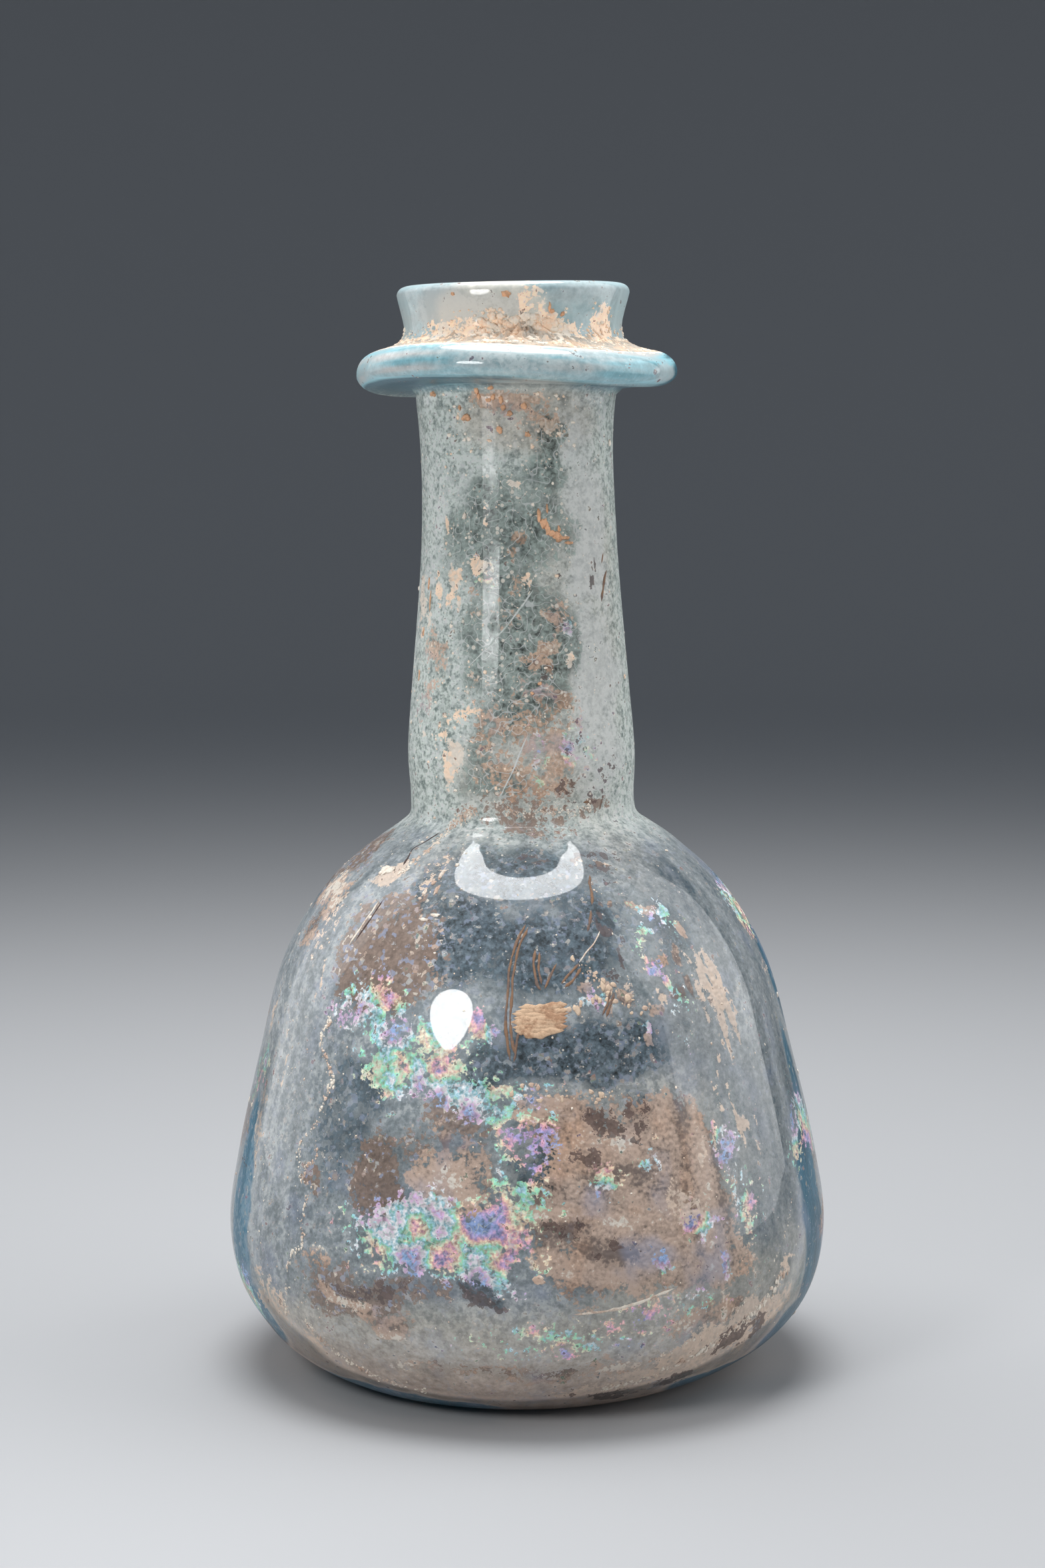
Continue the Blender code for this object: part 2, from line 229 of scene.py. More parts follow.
# Where clear aqua glass shows, mostly seen edge on. Its colour there is a painted edge glow, light through
# the wall's thickness, placed for the camera's view
PAINTED_EDGE_GLOW_PLACES = [
    (-71.5, 21, 4.4, 13, 1.1), (-73, 32, 2.4, 8, 0.9), (-66, 10, 4.4, 4.6, 1), (-48, 1.6, 14, 1.8, 1.2),
    (-24, 1.2, 10, 1.3, 1), (71, 22, 5, 14, 1.1), (76, 37, 2.6, 13, 0.8), (86, 58, 4, 12, 0.8),
    (66, 8, 6, 4.6, 1), (52, 3.6, 10, 1.8, 1), (150, 30, 8, 24, 0.5), (210, 50, 7, 14, 0.5),
]

# Where the film is warmer, towards cream and pink
WARM_PLACES = [
    (0, 8, 60, 10, 1.3), (34, 16, 18, 7, 1.2), (60, 16, 12, 9, 0.6), (20, 36, 18, 14, 0.7),
    (40, 58, 10, 9, 0.25), (36, 100, 9, 30, 0.6), (5, 84, 12, 7, 0.8), (-12, 146, 7, 4, 1.7),
    (5, 138, 12, 3, 0.4), (10, 132, 10, 5, 1.1), (-16, 100, 9, 9, 0.3), (-24, 72, 8, 6, 0.5),
]

# Where the neck still shines
GLOSS_PLACES = [(-22, 112, 8, 15, 0.5), (-15, 78.6, 4.4, 1.8, 1.3)]

# Lines on the wall, each a list of (turn in degrees, height in millimetres)
LIME_CRACK = [
    (-48.1, 52.6), (-46.7, 52), (-49, 50.8), (-48.8, 49.4), (-45.9, 47.2), (-44.3, 46), (-43.1, 44.7),
    (-44.4, 42.9), (-46, 38.9), (-49.9, 35.8), (-49.1, 33.5), (-48, 31.3), (-44.7, 30.8), (-46.2, 27.5),
    (-45.4, 23.2), (-48.6, 21.1), (-50.6, 16.6), (-52.7, 12.6),
]
LIME_BRANCH = [(-45.5, 36.8), (-44.4, 34.6), (-47, 33.2), (-47.4, 31.6)]
NECK_FOOT_CRUST = [
    (-24, 79.4), (-29, 78.6), (-33.3, 78), (-37.5, 76.6), (-39.6, 74.5), (-42, 72.6), (-44, 71.4),
]
NECK_FOOT_LEDGE = [(-8, 79.2), (2, 78.8), (14, 79.4), (24, 79), (36, 79.6)]
DARK_CRACK = [(-41.6, 76.2), (-44.9, 75), (-47.8, 74), (-46.6, 73), (-45.6, 72)]
DARK_SLOT = [(-43.7, 68), (-44.6, 65.5), (-46.4, 62.4)]
PALE_SLOT = [(-45, 67.6), (-46.2, 65), (-48.2, 61.6)]
NECK_SCRATCH = [(7.5, 109.1), (0.5, 106.6), (-7.2, 104.2), (-17, 101.4), (-27.3, 98.9)]
NECK_LOWER_SCRATCH = [(3, 89.5), (-3, 85.5), (-12, 80.6)]
FOOT_CRACK = [(-46, 12.6), (-42, 9), (-36, 6.4), (-30, 5.2), (-22, 4.4)]
FOOT_FOLD = [(16, 5), (26, 6.6), (36, 9.6), (46, 13), (56, 18)]
FOOT_FOLD_TOP = [(24, 9.4), (34, 12.2), (44, 15.6), (52, 20.4), (60, 27)]
PALE_LINE = [(8, 17.2), (14, 17.5), (20, 18.2), (27, 19.6)]
ROOTS = [
    [(0.2, 65.9), (-2.1, 63.8), (-3.5, 60.8), (-3.8, 57.6), (-4.2, 53.7), (-3.1, 49.1)],
    [(0.9, 65.6), (-1.3, 63.4), (-2.6, 60.4), (-2.9, 57), (-3.1, 53.2), (-2, 49.6)],
    [(-1.4, 53), (-2, 51), (-2.4, 49)], [(2.5, 62.9), (2, 60.8), (2.7, 58.8), (3.5, 57.9)],
    [(3.4, 62.6), (3.1, 60.4), (3.5, 58.6)], [(7.3, 61.2), (5.6, 59.6), (4.2, 58)],
    [(12.6, 61.1), (10.4, 60), (8, 58.6)], [(13.1, 60.6), (11, 59.2), (8.8, 58.2)],
    [(19.3, 57.7), (18, 56), (16.6, 54.5)], [(20, 57.4), (18.7, 55.8), (17.4, 54.3)],
    [(20.8, 71.5), (19.9, 70.2), (19.4, 69)], [(19.8, 71), (19.6, 69.4), (18.6, 68)],
    [(18, 67.4), (17, 66), (16, 64.8)],
]
PALE_ROOT = [(19.2, 64.9), (17, 63.4), (14.8, 62.4), (12.6, 61.1)]
NECK_FOOT_STROKES = [[(45, 80.8), (42, 79)], [(36, 80.4), (32, 80.2)], [(57, 114), (54.6, 112.4)]]
NECK_BROWN_STREAK = [(60, 111.6), (55, 109.6), (51.7, 107.2)]

# Larger chips: turn, height, half width, half height, thickness, all but the turn in millimetres
FLAKES = [
    (-33, 118.9, 0.35, 0.4, 0.15), (-27.9, 71.4, 0.3, 0.9, 0.15), (-29.2, 70.4, 0.35, 0.4, 0.15),
    (-27, 69.6, 0.25, 0.8, 0.15), (-30.4, 69.2, 0.3, 0.6, 0.15), (-24, 72.6, 0.3, 0.3, 0.15),
    (-24.5, 66.6, 0.6, 0.25, 0.12), (-27.6, 66, 0.7, 0.2, 0.12), (2, 21.8, 0.7, 0.55, 0.3),
    (-50.4, 71.3, 1.3, 0.7, 0.12), (-52, 70.8, 0.7, 0.5, 0.12),
]
RUST_FLAKES = [
    (11.8, 118.9, 0.28, 0.9, 0.2), (14.2, 118, 0.4, 0.6, 0.2), (16.4, 117.2, 0.35, 0.8, 0.22),
    (19, 116.6, 0.7, 0.35, 0.22), (22.5, 116.2, 0.6, 0.6, 0.25), (26, 116, 0.7, 0.25, 0.2),
    (29.6, 115.3, 0.7, 0.2, 0.2), (23.4, 117.2, 0.25, 0.5, 0.2), (16.6, 119.9, 0.14, 0.7, 0.15),
    (-29.4, 132.1, 0.65, 0.5, 0.3), (-33.3, 133.4, 0.25, 0.35, 0.2), (-53.7, 135.4, 0.5, 0.4, 0.3),
    (-22, 135.6, 0.3, 0.5, 0.25), (-21, 134.9, 0.25, 0.4, 0.25), (-13.9, 136, 0.45, 0.35, 0.25),
    (-12.6, 134.8, 0.3, 0.45, 0.25), (-15, 134.4, 0.4, 0.25, 0.25), (-8.2, 134.4, 0.3, 0.5, 0.25),
    (-7, 133.4, 0.3, 0.4, 0.25), (-3.3, 132.6, 0.4, 0.35, 0.2), (4.3, 133.6, 0.4, 0.4, 0.2),
    (6.6, 129.8, 0.35, 0.4, 0.2), (-9.4, 130.4, 0.45, 0.4, 0.2), (10, 96.5, 0.25, 0.22, 0.15),
    (6, 95.2, 0.22, 0.22, 0.15), (-3, 148.2, 0.55, 0.5, 0.2), (-30, 148.4, 0.25, 0.25, 0.15),
    (18.7, 146.5, 0.2, 0.6, 0.15), (20, 145.9, 0.35, 0.3, 0.15), (26, 145.6, 0.3, 0.3, 0.15),
    (-63, 109.6, 0.25, 0.9, 0.1), (-60, 107.4, 0.2, 1.2, 0.1), (-66, 103, 0.2, 0.6, 0.1),
    (-68, 97, 0.18, 0.8, 0.1),
]

# Fibres of a scrap of wood: first turn, last turn and height of each
WOOD_FIBRES = [
    (-1.6, 9.2, 56), (-2.2, 9.6, 55.5), (-3, 9.4, 55), (-2.6, 9, 54.5), (-3.2, 8.8, 54), (-2.8, 9.1, 53.5),
    (-2.4, 8.2, 53), (-1, 6, 52.6),
]
TAN_CHIP_LINE = [(11, 61.6), (14.6, 60), (17, 58.6), (21, 57.6), (25, 56.2)]
TAN_CHIP_SHELF = [(9.4, 55.4), (15, 56.6), (20, 55.8), (27, 54.6)]
TAN_CHIP_FOOT = [(-4, 44.6), (4, 45.2), (12, 44.4), (19, 45)]


def tint(red, green, blue):
    """A colour given as 0 to 255 for each channel, in the linear values that shaders take."""
    picked = np.array([red, green, blue]) / 255.0
    linear = np.where(picked > 0.04045, ((picked + 0.055) / 1.055) ** 2.4, picked / 12.92)
    return tuple(float(channel) for channel in linear)


def length(label, note, millimetres):
    size = millimetres * MM
    return FloatProperty(name=label, description=note, default=size, min=0.0, unit="LENGTH", precision=5)


def colour(label, note, *channels):
    shade = tint(*channels)
    return FloatVectorProperty(
        name=label, description=note, default=shade, size=3, min=0.0, max=1.0, subtype="COLOR"
    )


def power(label, note, watts):
    return FloatProperty(name=label, description=note, default=watts, min=0.0, unit="POWER")


class BottleShape(bpy.types.PropertyGroup):
    """Sizes of the blown wall."""

    body_radius: length("Body radius", "Radius of the body at its widest", 42.0)
    neck_foot_radius: length("Neck foot radius", "Radius of the neck above the shoulder", 15.85)
    neck_top_radius: length("Neck top radius", "Radius of the neck under the collar", 13.3)
    collar_radius: length("Collar radius", "Radius of the flat collar", 22.15)
    waist_radius: length("Waist radius", "Radius of the groove between collar and lip", 15.05)
    lip_radius: length("Lip radius", "Radius of the lip", 16.05)
    wall_thickness: length("Wall", "Thickness of the glass", 2.0)
    base_thickness: length("Base", "Thickness of the glass under the body", 3.2)
    sides: IntProperty(name="Sides", description="Points around the wall", default=360, min=12, max=720)


class BottleFinish(bpy.types.PropertyGroup):
    """Colours of the glass and of what burial has left on it, with some painted light and shade among them.
    """

    body_film: colour("Body film", "Milky weathering on the body", 162, 169, 172)
    neck_film: colour("Neck film", "Grey-green weathering on the neck", 208, 218, 211)
    collar_film: colour("Collar film", "Thin weathering on the collar and lip", 160, 218, 230)
    warm_film: colour("Warm film", "Film with fine earth in it", 206, 200, 188)
    # Slate and neck slate are painted shade: the dark inside of the bottle, seen through glass where the film
    # has come away, laid on as colour
    inside_shade_slate: colour("Slate", "Dark glass where the film has come away", 84, 100, 111)
    neck_inside_shade_slate: colour("Neck slate", "Thin film on the neck with the dark glass behind it", 124, 138, 132)
    # Teal is partly painted shade: the dark end of the collar's film, reached under the collar and at its
    # ends
    collar_shade_teal: colour("Teal", "Thick clear glass at the collar's lower edge", 62, 112, 128)
    # Aqua is a painted edge glow: light through the wall seen edge on, laid on as colour
    aqua: colour("Aqua", "Clear glass seen edge on", 8, 108, 138)
    milk: colour("Milk", "Thick pale film", 212, 214, 212)
    earth: colour("Earth", "Tan soil on the glass", 200, 173, 155)
    earth_dark: colour("Damp earth", "Darker grains of soil", 118, 100, 92)
    rust: colour("Rust", "Orange soil", 236, 184, 146)
    peach: colour("Peach", "Dry earth heaped in the groove", 255, 224, 196)
    brown: colour("Brown", "Smooth brown stain", 140, 119, 106)
    stain: colour("Stain", "Dark purple-brown spots", 78, 64, 62)
    lime: colour("Lime", "Cream crust", 232, 222, 208)
    lilac: colour("Lilac", "Thin flakes of old film", 154, 164, 188)
    fibre: colour("Fibre", "Dried roots on the glass", 140, 110, 88)
    glass_depth: FloatProperty(
        name="Glass depth",
        description="How fast light turns aqua inside the glass, per metre",
        default=460.0,
        min=0.0,
    )


class BottleStudio(bpy.types.PropertyGroup):
    """The floor and the lamps."""

    floor_colour: colour("Floor", "Pale studio floor", 168, 169, 171)
    overhead_power: power("Overhead softbox", "Power of the softbox above", 2.5)
    key_power: power("Key lamp", "Power of the oval lamp at the left of the camera", 0.085)
    card_power: power("White cards", "Light of the tall card at the right", 1.06)
    room_light: FloatProperty(
        name="Room", description="Strength of the light from all around", default=0.4, min=0.0
    )


def smooth_step(t):
    """0 below t = 0, 1 above t = 1, and an even S between."""
    t = np.clip(t, 0.0, 1.0)
    return t * t * (3.0 - 2.0 * t)


def span(value, start, width):
    """0 up to start, 1 beyond start + width, and an even S between. A negative width runs downwards."""
    return smooth_step((value - start) / width)


def arc(centre, radial, upright, start, end, steps):
    """Points on an ellipse about centre, from angle start to end in degrees, 0 being outwards."""
    angles = np.radians(np.linspace(start, end, steps + 1))
    return np.column_stack([centre[0] + radial * np.cos(angles), centre[1] + upright * np.sin(angles)])


def blends(points, knots, gap, t):
    """Each point and the next, mixed by where t falls between knots that are gap places apart."""
    mixed = []
    for first, second, low, high in zip(points, points[1:], knots, knots[gap:]):
        share = (t - low) / (high - low)
        mixed.append(first + (second - first) * share)
    return mixed


def curve_through(points, steps):
    """A centripetal Catmull-Rom curve through the points, with steps points to each span."""
    p = np.array(points, float)
    p = np.vstack([2 * p[0] - p[1], p, 2 * p[-1] - p[-2]])
    chords = np.linalg.norm(np.diff(p, axis=0), axis=1)
    knots = np.concatenate([[0.0], np.cumsum(np.sqrt(chords))])
    made = []
    for i in range(1, len(p) - 2):
        t = np.linspace(knots[i], knots[i + 1], steps, endpoint=False)[:, None]
        level = list(p[i - 1 : i + 3])
        for gap in (1, 2):
            level = blends(level, knots[i - 1 : i + 3], gap, t)
        between = (t - knots[i]) / (knots[i + 1] - knots[i])
        made.append(level[0] + (level[1] - level[0]) * between)
    made.append(p[-2:-1])
    return np.vstack(made)


def outer_neck(shape):
    """The neck's outside, from under the collar down to the crease above the shoulder."""
    top = shape.neck_top_radius / MM
    foot = shape.neck_foot_radius / MM
    return [
        (top + 0.55, COLLAR_Z - COLLAR_FALL - 1.0),
        (top + 0.15, NECK_TOP_Z + 4.0),
        (top, NECK_TOP_Z - 2.0),
        (top + 0.35, NECK_TOP_Z - 13.0),
        (top + 1.1, NECK_TOP_Z - 23.0),
        (foot - 0.75, NECK_FOOT_Z + 10.0),
        (foot, NECK_FOOT_Z),
        (foot - 0.25, NECK_FOOT_Z - 6.5),
        (foot + 0.1, SHOULDER_Z + 3.5),
    ]


def outer_body(shape):
    """The body's outside, from the shoulder down to the resting ring."""
    foot = shape.neck_foot_radius / MM
    r = shape.body_radius / MM
    return [
        (foot + 1.8, SHOULDER_Z + 2.1),
        (foot + 5.1, SHOULDER_Z - 0.2),
        (r - 14.6, SHOULDER_Z - 6.0),
        (r - 8.4, SHOULDER_Z - 16.0),
        (r - 4.5, SHOULDER_Z - 30.0),
        (r - 1.3, BODY_WIDEST_Z + 10.0),
        (r, BODY_WIDEST_Z),
        (r - 1.5, BODY_WIDEST_Z - 8.0),
        (r - 5.5, BODY_WIDEST_Z - 14.0),
        (r - 9.7, BODY_WIDEST_Z - 17.35),
        (RING_OUTER + 4.7, 0.8),
    ]


def inner_body(shape):
    """The hollow's outline, from the middle of the floor up to the foot of the neck."""
    r = (shape.body_radius - shape.wall_thickness) / MM
    foot = shape.neck_foot_radius / MM
    base = shape.base_thickness / MM
    return [
        (RING_INNER - 7.0, base + 1.4),
        (RING_OUTER - 1.0, base + 0.25),
        (r - 8.7, base + 2.2),
        (r - 3.6, base + 6.4),
        (r - 0.5, BODY_WIDEST_Z - 5.5),
        (r, BODY_WIDEST_Z + 2.0),
        (r - 1.6, BODY_WIDEST_Z + 11.5),
        (r - 4.7, SHOULDER_Z - 31.0),
        (r - 8.8, SHOULDER_Z - 17.4),
        (r - 15.0, SHOULDER_Z - 8.0),
        (foot + 3.3, SHOULDER_Z - 2.4),
        (foot - 1.0, SHOULDER_Z + 0.6),
    ]


def inner_neck(shape):
    """The neck's bore, from its foot up to the lip."""
    foot = (shape.neck_foot_radius - shape.wall_thickness) / MM
    top = (shape.neck_top_radius - shape.wall_thickness) / MM
    waist = shape.waist_radius / MM
    return [
        (foot - 0.6, SHOULDER_Z + 4.6),
        (foot, NECK_FOOT_Z + 0.5),
        (foot - 0.9, NECK_FOOT_Z + 12.0),
        (top + 0.55, NECK_TOP_Z - 15.0),
        (top, NECK_TOP_Z),
        (top + 0.35, COLLAR_Z - 3.0),
        (waist - 2.7, COLLAR_Z + 3.0),
        (waist - 1.9, WAIST_Z + 2.5),
    ]


def lip_arc(shape, steps):
    """The lip's round top, from inside to outside."""
    half = LIP_THICKNESS / 2
    return arc((shape.lip_radius / MM - half, HEIGHT - half), half, half, 180, 0, steps)


def inside_outline(shape):
    """The inside as (radius, height), from the middle of the floor up to the lip."""
    floor = [(0.0, BASE_HOLLOW + shape.base_thickness / MM)]
    lip = lip_arc(shape, 12)
    return curve_through(floor + inner_body(shape) + inner_neck(shape) + [lip[0]], 3)


def outside_outline(shape):
    """The outside as (radius, height), over the lip, down past the collar, and in under the base."""
    top = shape.neck_top_radius / MM
    waist = shape.waist_radius / MM
    core = (shape.collar_radius / MM - COLLAR_NOSE, COLLAR_Z)
    lip = lip_arc(shape, 12)
    above = curve_through(
        [
            lip[-1],
            (waist, WAIST_Z),
            (waist + 1.5, COLLAR_Z + COLLAR_RISE + 0.8),
            (core[0] - 0.6, COLLAR_Z + COLLAR_RISE + 0.1),
        ],
        5,
    )
    collar = np.vstack(
        [
            arc(core, COLLAR_NOSE, COLLAR_RISE, 90, 0, 10),
            arc(core, COLLAR_NOSE, COLLAR_FALL, 0, -90, 8)[1:],
            [(core[0] - 2.2, COLLAR_Z - COLLAR_FALL), (top + 1.5, COLLAR_Z - COLLAR_FALL - 0.1)],
        ]
    )
    neck = curve_through(outer_neck(shape) + outer_body(shape)[:1], 6)
    body = curve_through(outer_body(shape), 8)
    foot = [
        (RING_OUTER, 0.0),
        (RING_INNER, 0.0),
        (RING_INNER - 3.2, 0.75),
        (RING_INNER - 10.0, BASE_HOLLOW - 0.5),
        (0.0, BASE_HOLLOW),
    ]
    outline = np.vstack([lip, above[1:], collar, neck[:-1], body, foot])
    outline[:, 0] = np.minimum(outline[:, 0], shape.body_radius / MM)
    return outline


def to_front(turn):
    """A turn in degrees as an angle from the front, from -180 to 180."""
    return (turn + 180.0) % 360.0 - 180.0


def around(radius, turn, height):
    """Points at a radius, a turn to the right of the front in degrees, and a height."""
    angle = np.radians(turn)
    return np.stack(np.broadcast_arrays(radius * np.sin(angle), -radius * np.cos(angle), height), axis=-1)


def hand_work(points):
    """Moves the turned wall's points, in millimetres, as the blower's hand left them."""
    x, y, z = points[..., 0], points[..., 1], points[..., 2]
    radius, turn = np.hypot(x, y), np.arctan2(y, x)
    stray = curve_through(CENTRE_LINE, 8)
    offset = np.interp(z, stray[:, 0], stray[:, 1])
    at_foot = 1.0 - smooth_step(z / FOOT_HEIGHT)
    away = np.angle(np.exp(1j * (turn - FOOT_FLAT_TURN)))
    flat = at_foot * FOOT_FLAT * np.exp(-((away / 0.6) ** 2)) * span(radius, 10.0, 15.0)
    on_lip = span(z, COLLAR_Z + COLLAR_RISE, 6.0)
    on_collar = span(radius, WAIST_WIDTH, 5.5) * span(z, 133.0, 2.0)
    saddle = COLLAR_SADDLE * np.cos(2.0 * (turn - COLLAR_SADDLE_TURN))
    tip = COLLAR_TIP * np.cos(turn - COLLAR_TIP_TURN)
    side = x / LIP_WIDTH
    lift = on_collar * (1.0 - on_lip) * (saddle + tip) + on_lip * side * (LIP_TILT + LIP_RISE * side)
    x = x + offset + at_foot * FOOT_SHIFT[0] - flat * np.cos(turn)
    y = y + at_foot * FOOT_SHIFT[1] - flat * np.sin(turn)
    return np.stack([x, y, z + lift], axis=-1)


def within_cad_box(points):
    """Keeps points, in metres, inside the solid model's box."""
    low, high = np.array(CAD_BOX)
    margin = 2e-6
    return np.clip(points, low + margin, high - margin)


def plain_mesh(name, points, quads, triangles):
    """A smooth mesh object from points in millimetres, four-sided faces and three-sided faces."""
    mesh = bpy.data.meshes.new(name)
    faces = [*np.asarray(quads).tolist(), *np.asarray(triangles).tolist()]
    mesh.from_pydata(within_cad_box(points * MM).tolist(), [], faces)
    mesh.validate()
    mesh.update()
    mesh.shade_smooth()
    piece = bpy.data.objects.new(name, mesh)
    bpy.context.scene.collection.objects.link(piece)
    return piece


def ring_quads(first, rings, sides):
    """Quads between rings of points that close on themselves, each ring after the last from index first."""
    row = np.arange(rings - 1)[:, None] * sides + first
    side = np.arange(sides)[None, :]
    after = (side + 1) % sides
    corners = [row + side, row + sides + side, row + sides + after, row + after]
    return np.stack(corners, axis=-1).reshape(-1, 4)


def pole_caps(rings, sides):
    """Triangles from a pole, point 0, to the first ring, and from the last ring to the pole after it."""
    side = np.arange(sides)
    after = (side + 1) % sides
    low = 1 + (rings - 1) * sides
    start = np.stack([np.zeros(sides, int), 1 + side, 1 + after], axis=-1)
    end = np.stack([low + side, np.full(sides, low + sides), low + after], axis=-1)
    return np.vstack([start, end])


def full_circle(sides):
    """Even turns in degrees."""
    return np.arange(sides) * 360.0 / sides


def closed_wall(outline, sides):
    """The outline turned about Z, with a pole at each end. A point is (radius sin turn, -radius cos turn,
    height)."""
    turns = full_circle(sides)
    rings = outline[1:-1]
    body = around(rings[:, :1], turns[None, :], rings[:, 1:]).reshape(-1, 3)
    first, last = (around(0.0, 0.0, height)[None] for height in (outline[0, 1], outline[-1, 1]))
    turn = np.concatenate([[0.0], np.tile(turns, len(rings)), [0.0]])
    radius = np.concatenate([[0.0], np.repeat(rings[:, 0], sides), [0.0]])
    quads = ring_quads(1, len(rings), sides)
    return np.vstack([first, body, last]), quads, pole_caps(len(rings), sides), turn, radius


def along_outside(outline):
    """Distance along the outside from its start, in millimetres."""
    steps = np.linalg.norm(np.diff(outline, axis=0), axis=1)
    return np.concatenate([[0.0], np.cumsum(steps)])


def reach(outline, height):
    """Distance along the outside at which a height is met: in the groove for heights over 141, else below."""
    distance = along_outside(outline)
    height = np.asarray(height, float)
    collar = int(np.argmax(outline[:, 0] > outline[:20, 0].max() + 4.0))
    foot = int(np.argmin(outline[:, 1]))
    under = collar + int(np.argmax(outline[collar:, 1] < COLLAR_Z - COLLAR_FALL - 0.05))
    upper = np.interp(-height, -outline[6:collar, 1], distance[6:collar])
    lower = np.interp(-height, -outline[under:foot, 1], distance[under:foot])
    return np.where(height > COLLAR_Z + COLLAR_RISE - 0.4, upper, lower)


def on_wall(outline, turn, along, lift):
    """A point on the outside at a turn and a distance along it, lifted off the glass along its normal."""
    distance = along_outside(outline)
    radius = np.interp(along, distance, outline[:, 0])
    height = np.interp(along, distance, outline[:, 1])
    lean = np.gradient(outline, distance + np.arange(len(distance)) * 1e-9, axis=0)
    out = np.interp(along, distance, -lean[:, 1])
    up = np.interp(along, distance, lean[:, 0])
    size = np.hypot(out, up)
    return hand_work(around(radius + lift * out / size, turn, height + lift * up / size))


def lumps(outline, places, seed, rings=5, sides=9, flatness=1.0):
    """Closed lumps laid on the wall. Each is a ball, (cos a sin b, sin a sin b, cos b), drawn out to its half
    width, half height and thickness and made uneven by seeded noise. Its top is cos b to the power flatness,
    so a low power gives a flat chip with steep edges."""
    turn, height, wide, tall, thick = np.array(places, float).T
    draw = np.random.default_rng(seed)
    count = len(turn)
    b = np.linspace(0.0, np.pi, rings + 2)[1:-1, None]
    a = np.arange(sides)[None, :] * 2.0 * np.pi / sides
    ball = np.stack(np.broadcast_arrays(np.cos(a) * np.sin(b), np.sin(a) * np.sin(b), np.cos(b)), axis=-1)
    ball = np.vstack([[(0.0, 0.0, 1.0)], ball.reshape(-1, 3), [(0.0, 0.0, -1.0)]])
    shift = draw.uniform(0.0, 60.0, (count, 1, 3))
    wobble = soft_noise((ball[None] * 2.4 + shift).reshape(-1, 3), 1.1, seed + 1, 2).reshape(count, -1)
    size = 0.15 + 1.7 * wobble
    spin = draw.uniform(-0.5, 0.5, (count, 1))
    across, upright = ball[:, 0] * size, ball[:, 1] * size
    sideways = (across * np.cos(spin) - upright * np.sin(spin)) * wide[:, None]
    down = (across * np.sin(spin) + upright * np.cos(spin)) * tall[:, None]
    lift = np.sign(ball[:, 2]) * np.abs(ball[:, 2]) ** flatness * (0.5 + wobble) * thick[:, None]
    along = reach(outline, height)
    radius = np.interp(along, along_outside(outline), outline[:, 0])
    turns = turn[:, None] + np.degrees(sideways / radius[:, None])
    points = on_wall(outline, turns, along[:, None] + down, lift)
    each = len(ball)
    start = (np.arange(count) * each)[:, None, None]
    quads = (ring_quads(1, rings, sides)[None] + start).reshape(-1, 4)
    caps = (pole_caps(rings, sides)[None] + start).reshape(-1, 3)
    return points.reshape(-1, 3), quads, caps


def groove_crust(outline, sides=960, steps=16):
    """The crust in the groove above the collar, a band between two sheets. Its top sheet is lifted by
    thickness (1 - w squared) times seeded noise, w going from -1 to 1 up the band, and its lower sheet is
    sunk a little. The band is highest at the front, where the earth is heaped."""
    turn = full_circle(sides)
    angle = np.radians(turn)
    ring = np.column_stack([np.cos(angle), np.sin(angle)]) * 15.0
    edge = soft_noise(np.column_stack([ring, np.zeros(sides)]), 1.3, 44) - 0.5
    front = np.exp(-(to_front(turn - 5.0) / 20.0) ** 2)
    left = np.exp(-(to_front(turn + 28.0) / 12.0) ** 2)
    high = GROOVE_TOP + 1.9 * front + 0.7 * left + 2.2 * edge
    share = np.linspace(0.0, 1.0, steps)[:, None]
    foot = COLLAR_Z + COLLAR_RISE - 0.25
    along = reach(outline, foot + (high - foot) * share)
    spot = np.stack(np.broadcast_arrays(ring[:, 0], ring[:, 1], share * 5.0), axis=-1)
    grit = soft_noise(spot.reshape(-1, 3), 0.5, 45).reshape(steps, sides)
    hump = 1.0 - (2.0 * share - 1.0) ** 2
    top = (0.10 + 0.30 * front) * hump * (0.2 + 2.4 * smooth_step((grit - 0.35) / 0.4)) - 0.03
    upper = on_wall(outline, turn[None, :], along, top)
    lower = on_wall(outline, turn[None, :], along, np.full(top.shape, -0.08))
    loop = np.vstack([upper.reshape(-1, 3), lower[::-1].reshape(-1, 3)])
    quads = ring_quads(0, 2 * steps, sides)
    side = np.arange(sides)
    after = (side + 1) % sides
    last = (2 * steps - 1) * sides
    closing = np.stack([last + side, side, after, last + after], axis=-1)
    return loop, np.vstack([quads, closing])[:, ::-1], np.empty((0, 3), int)


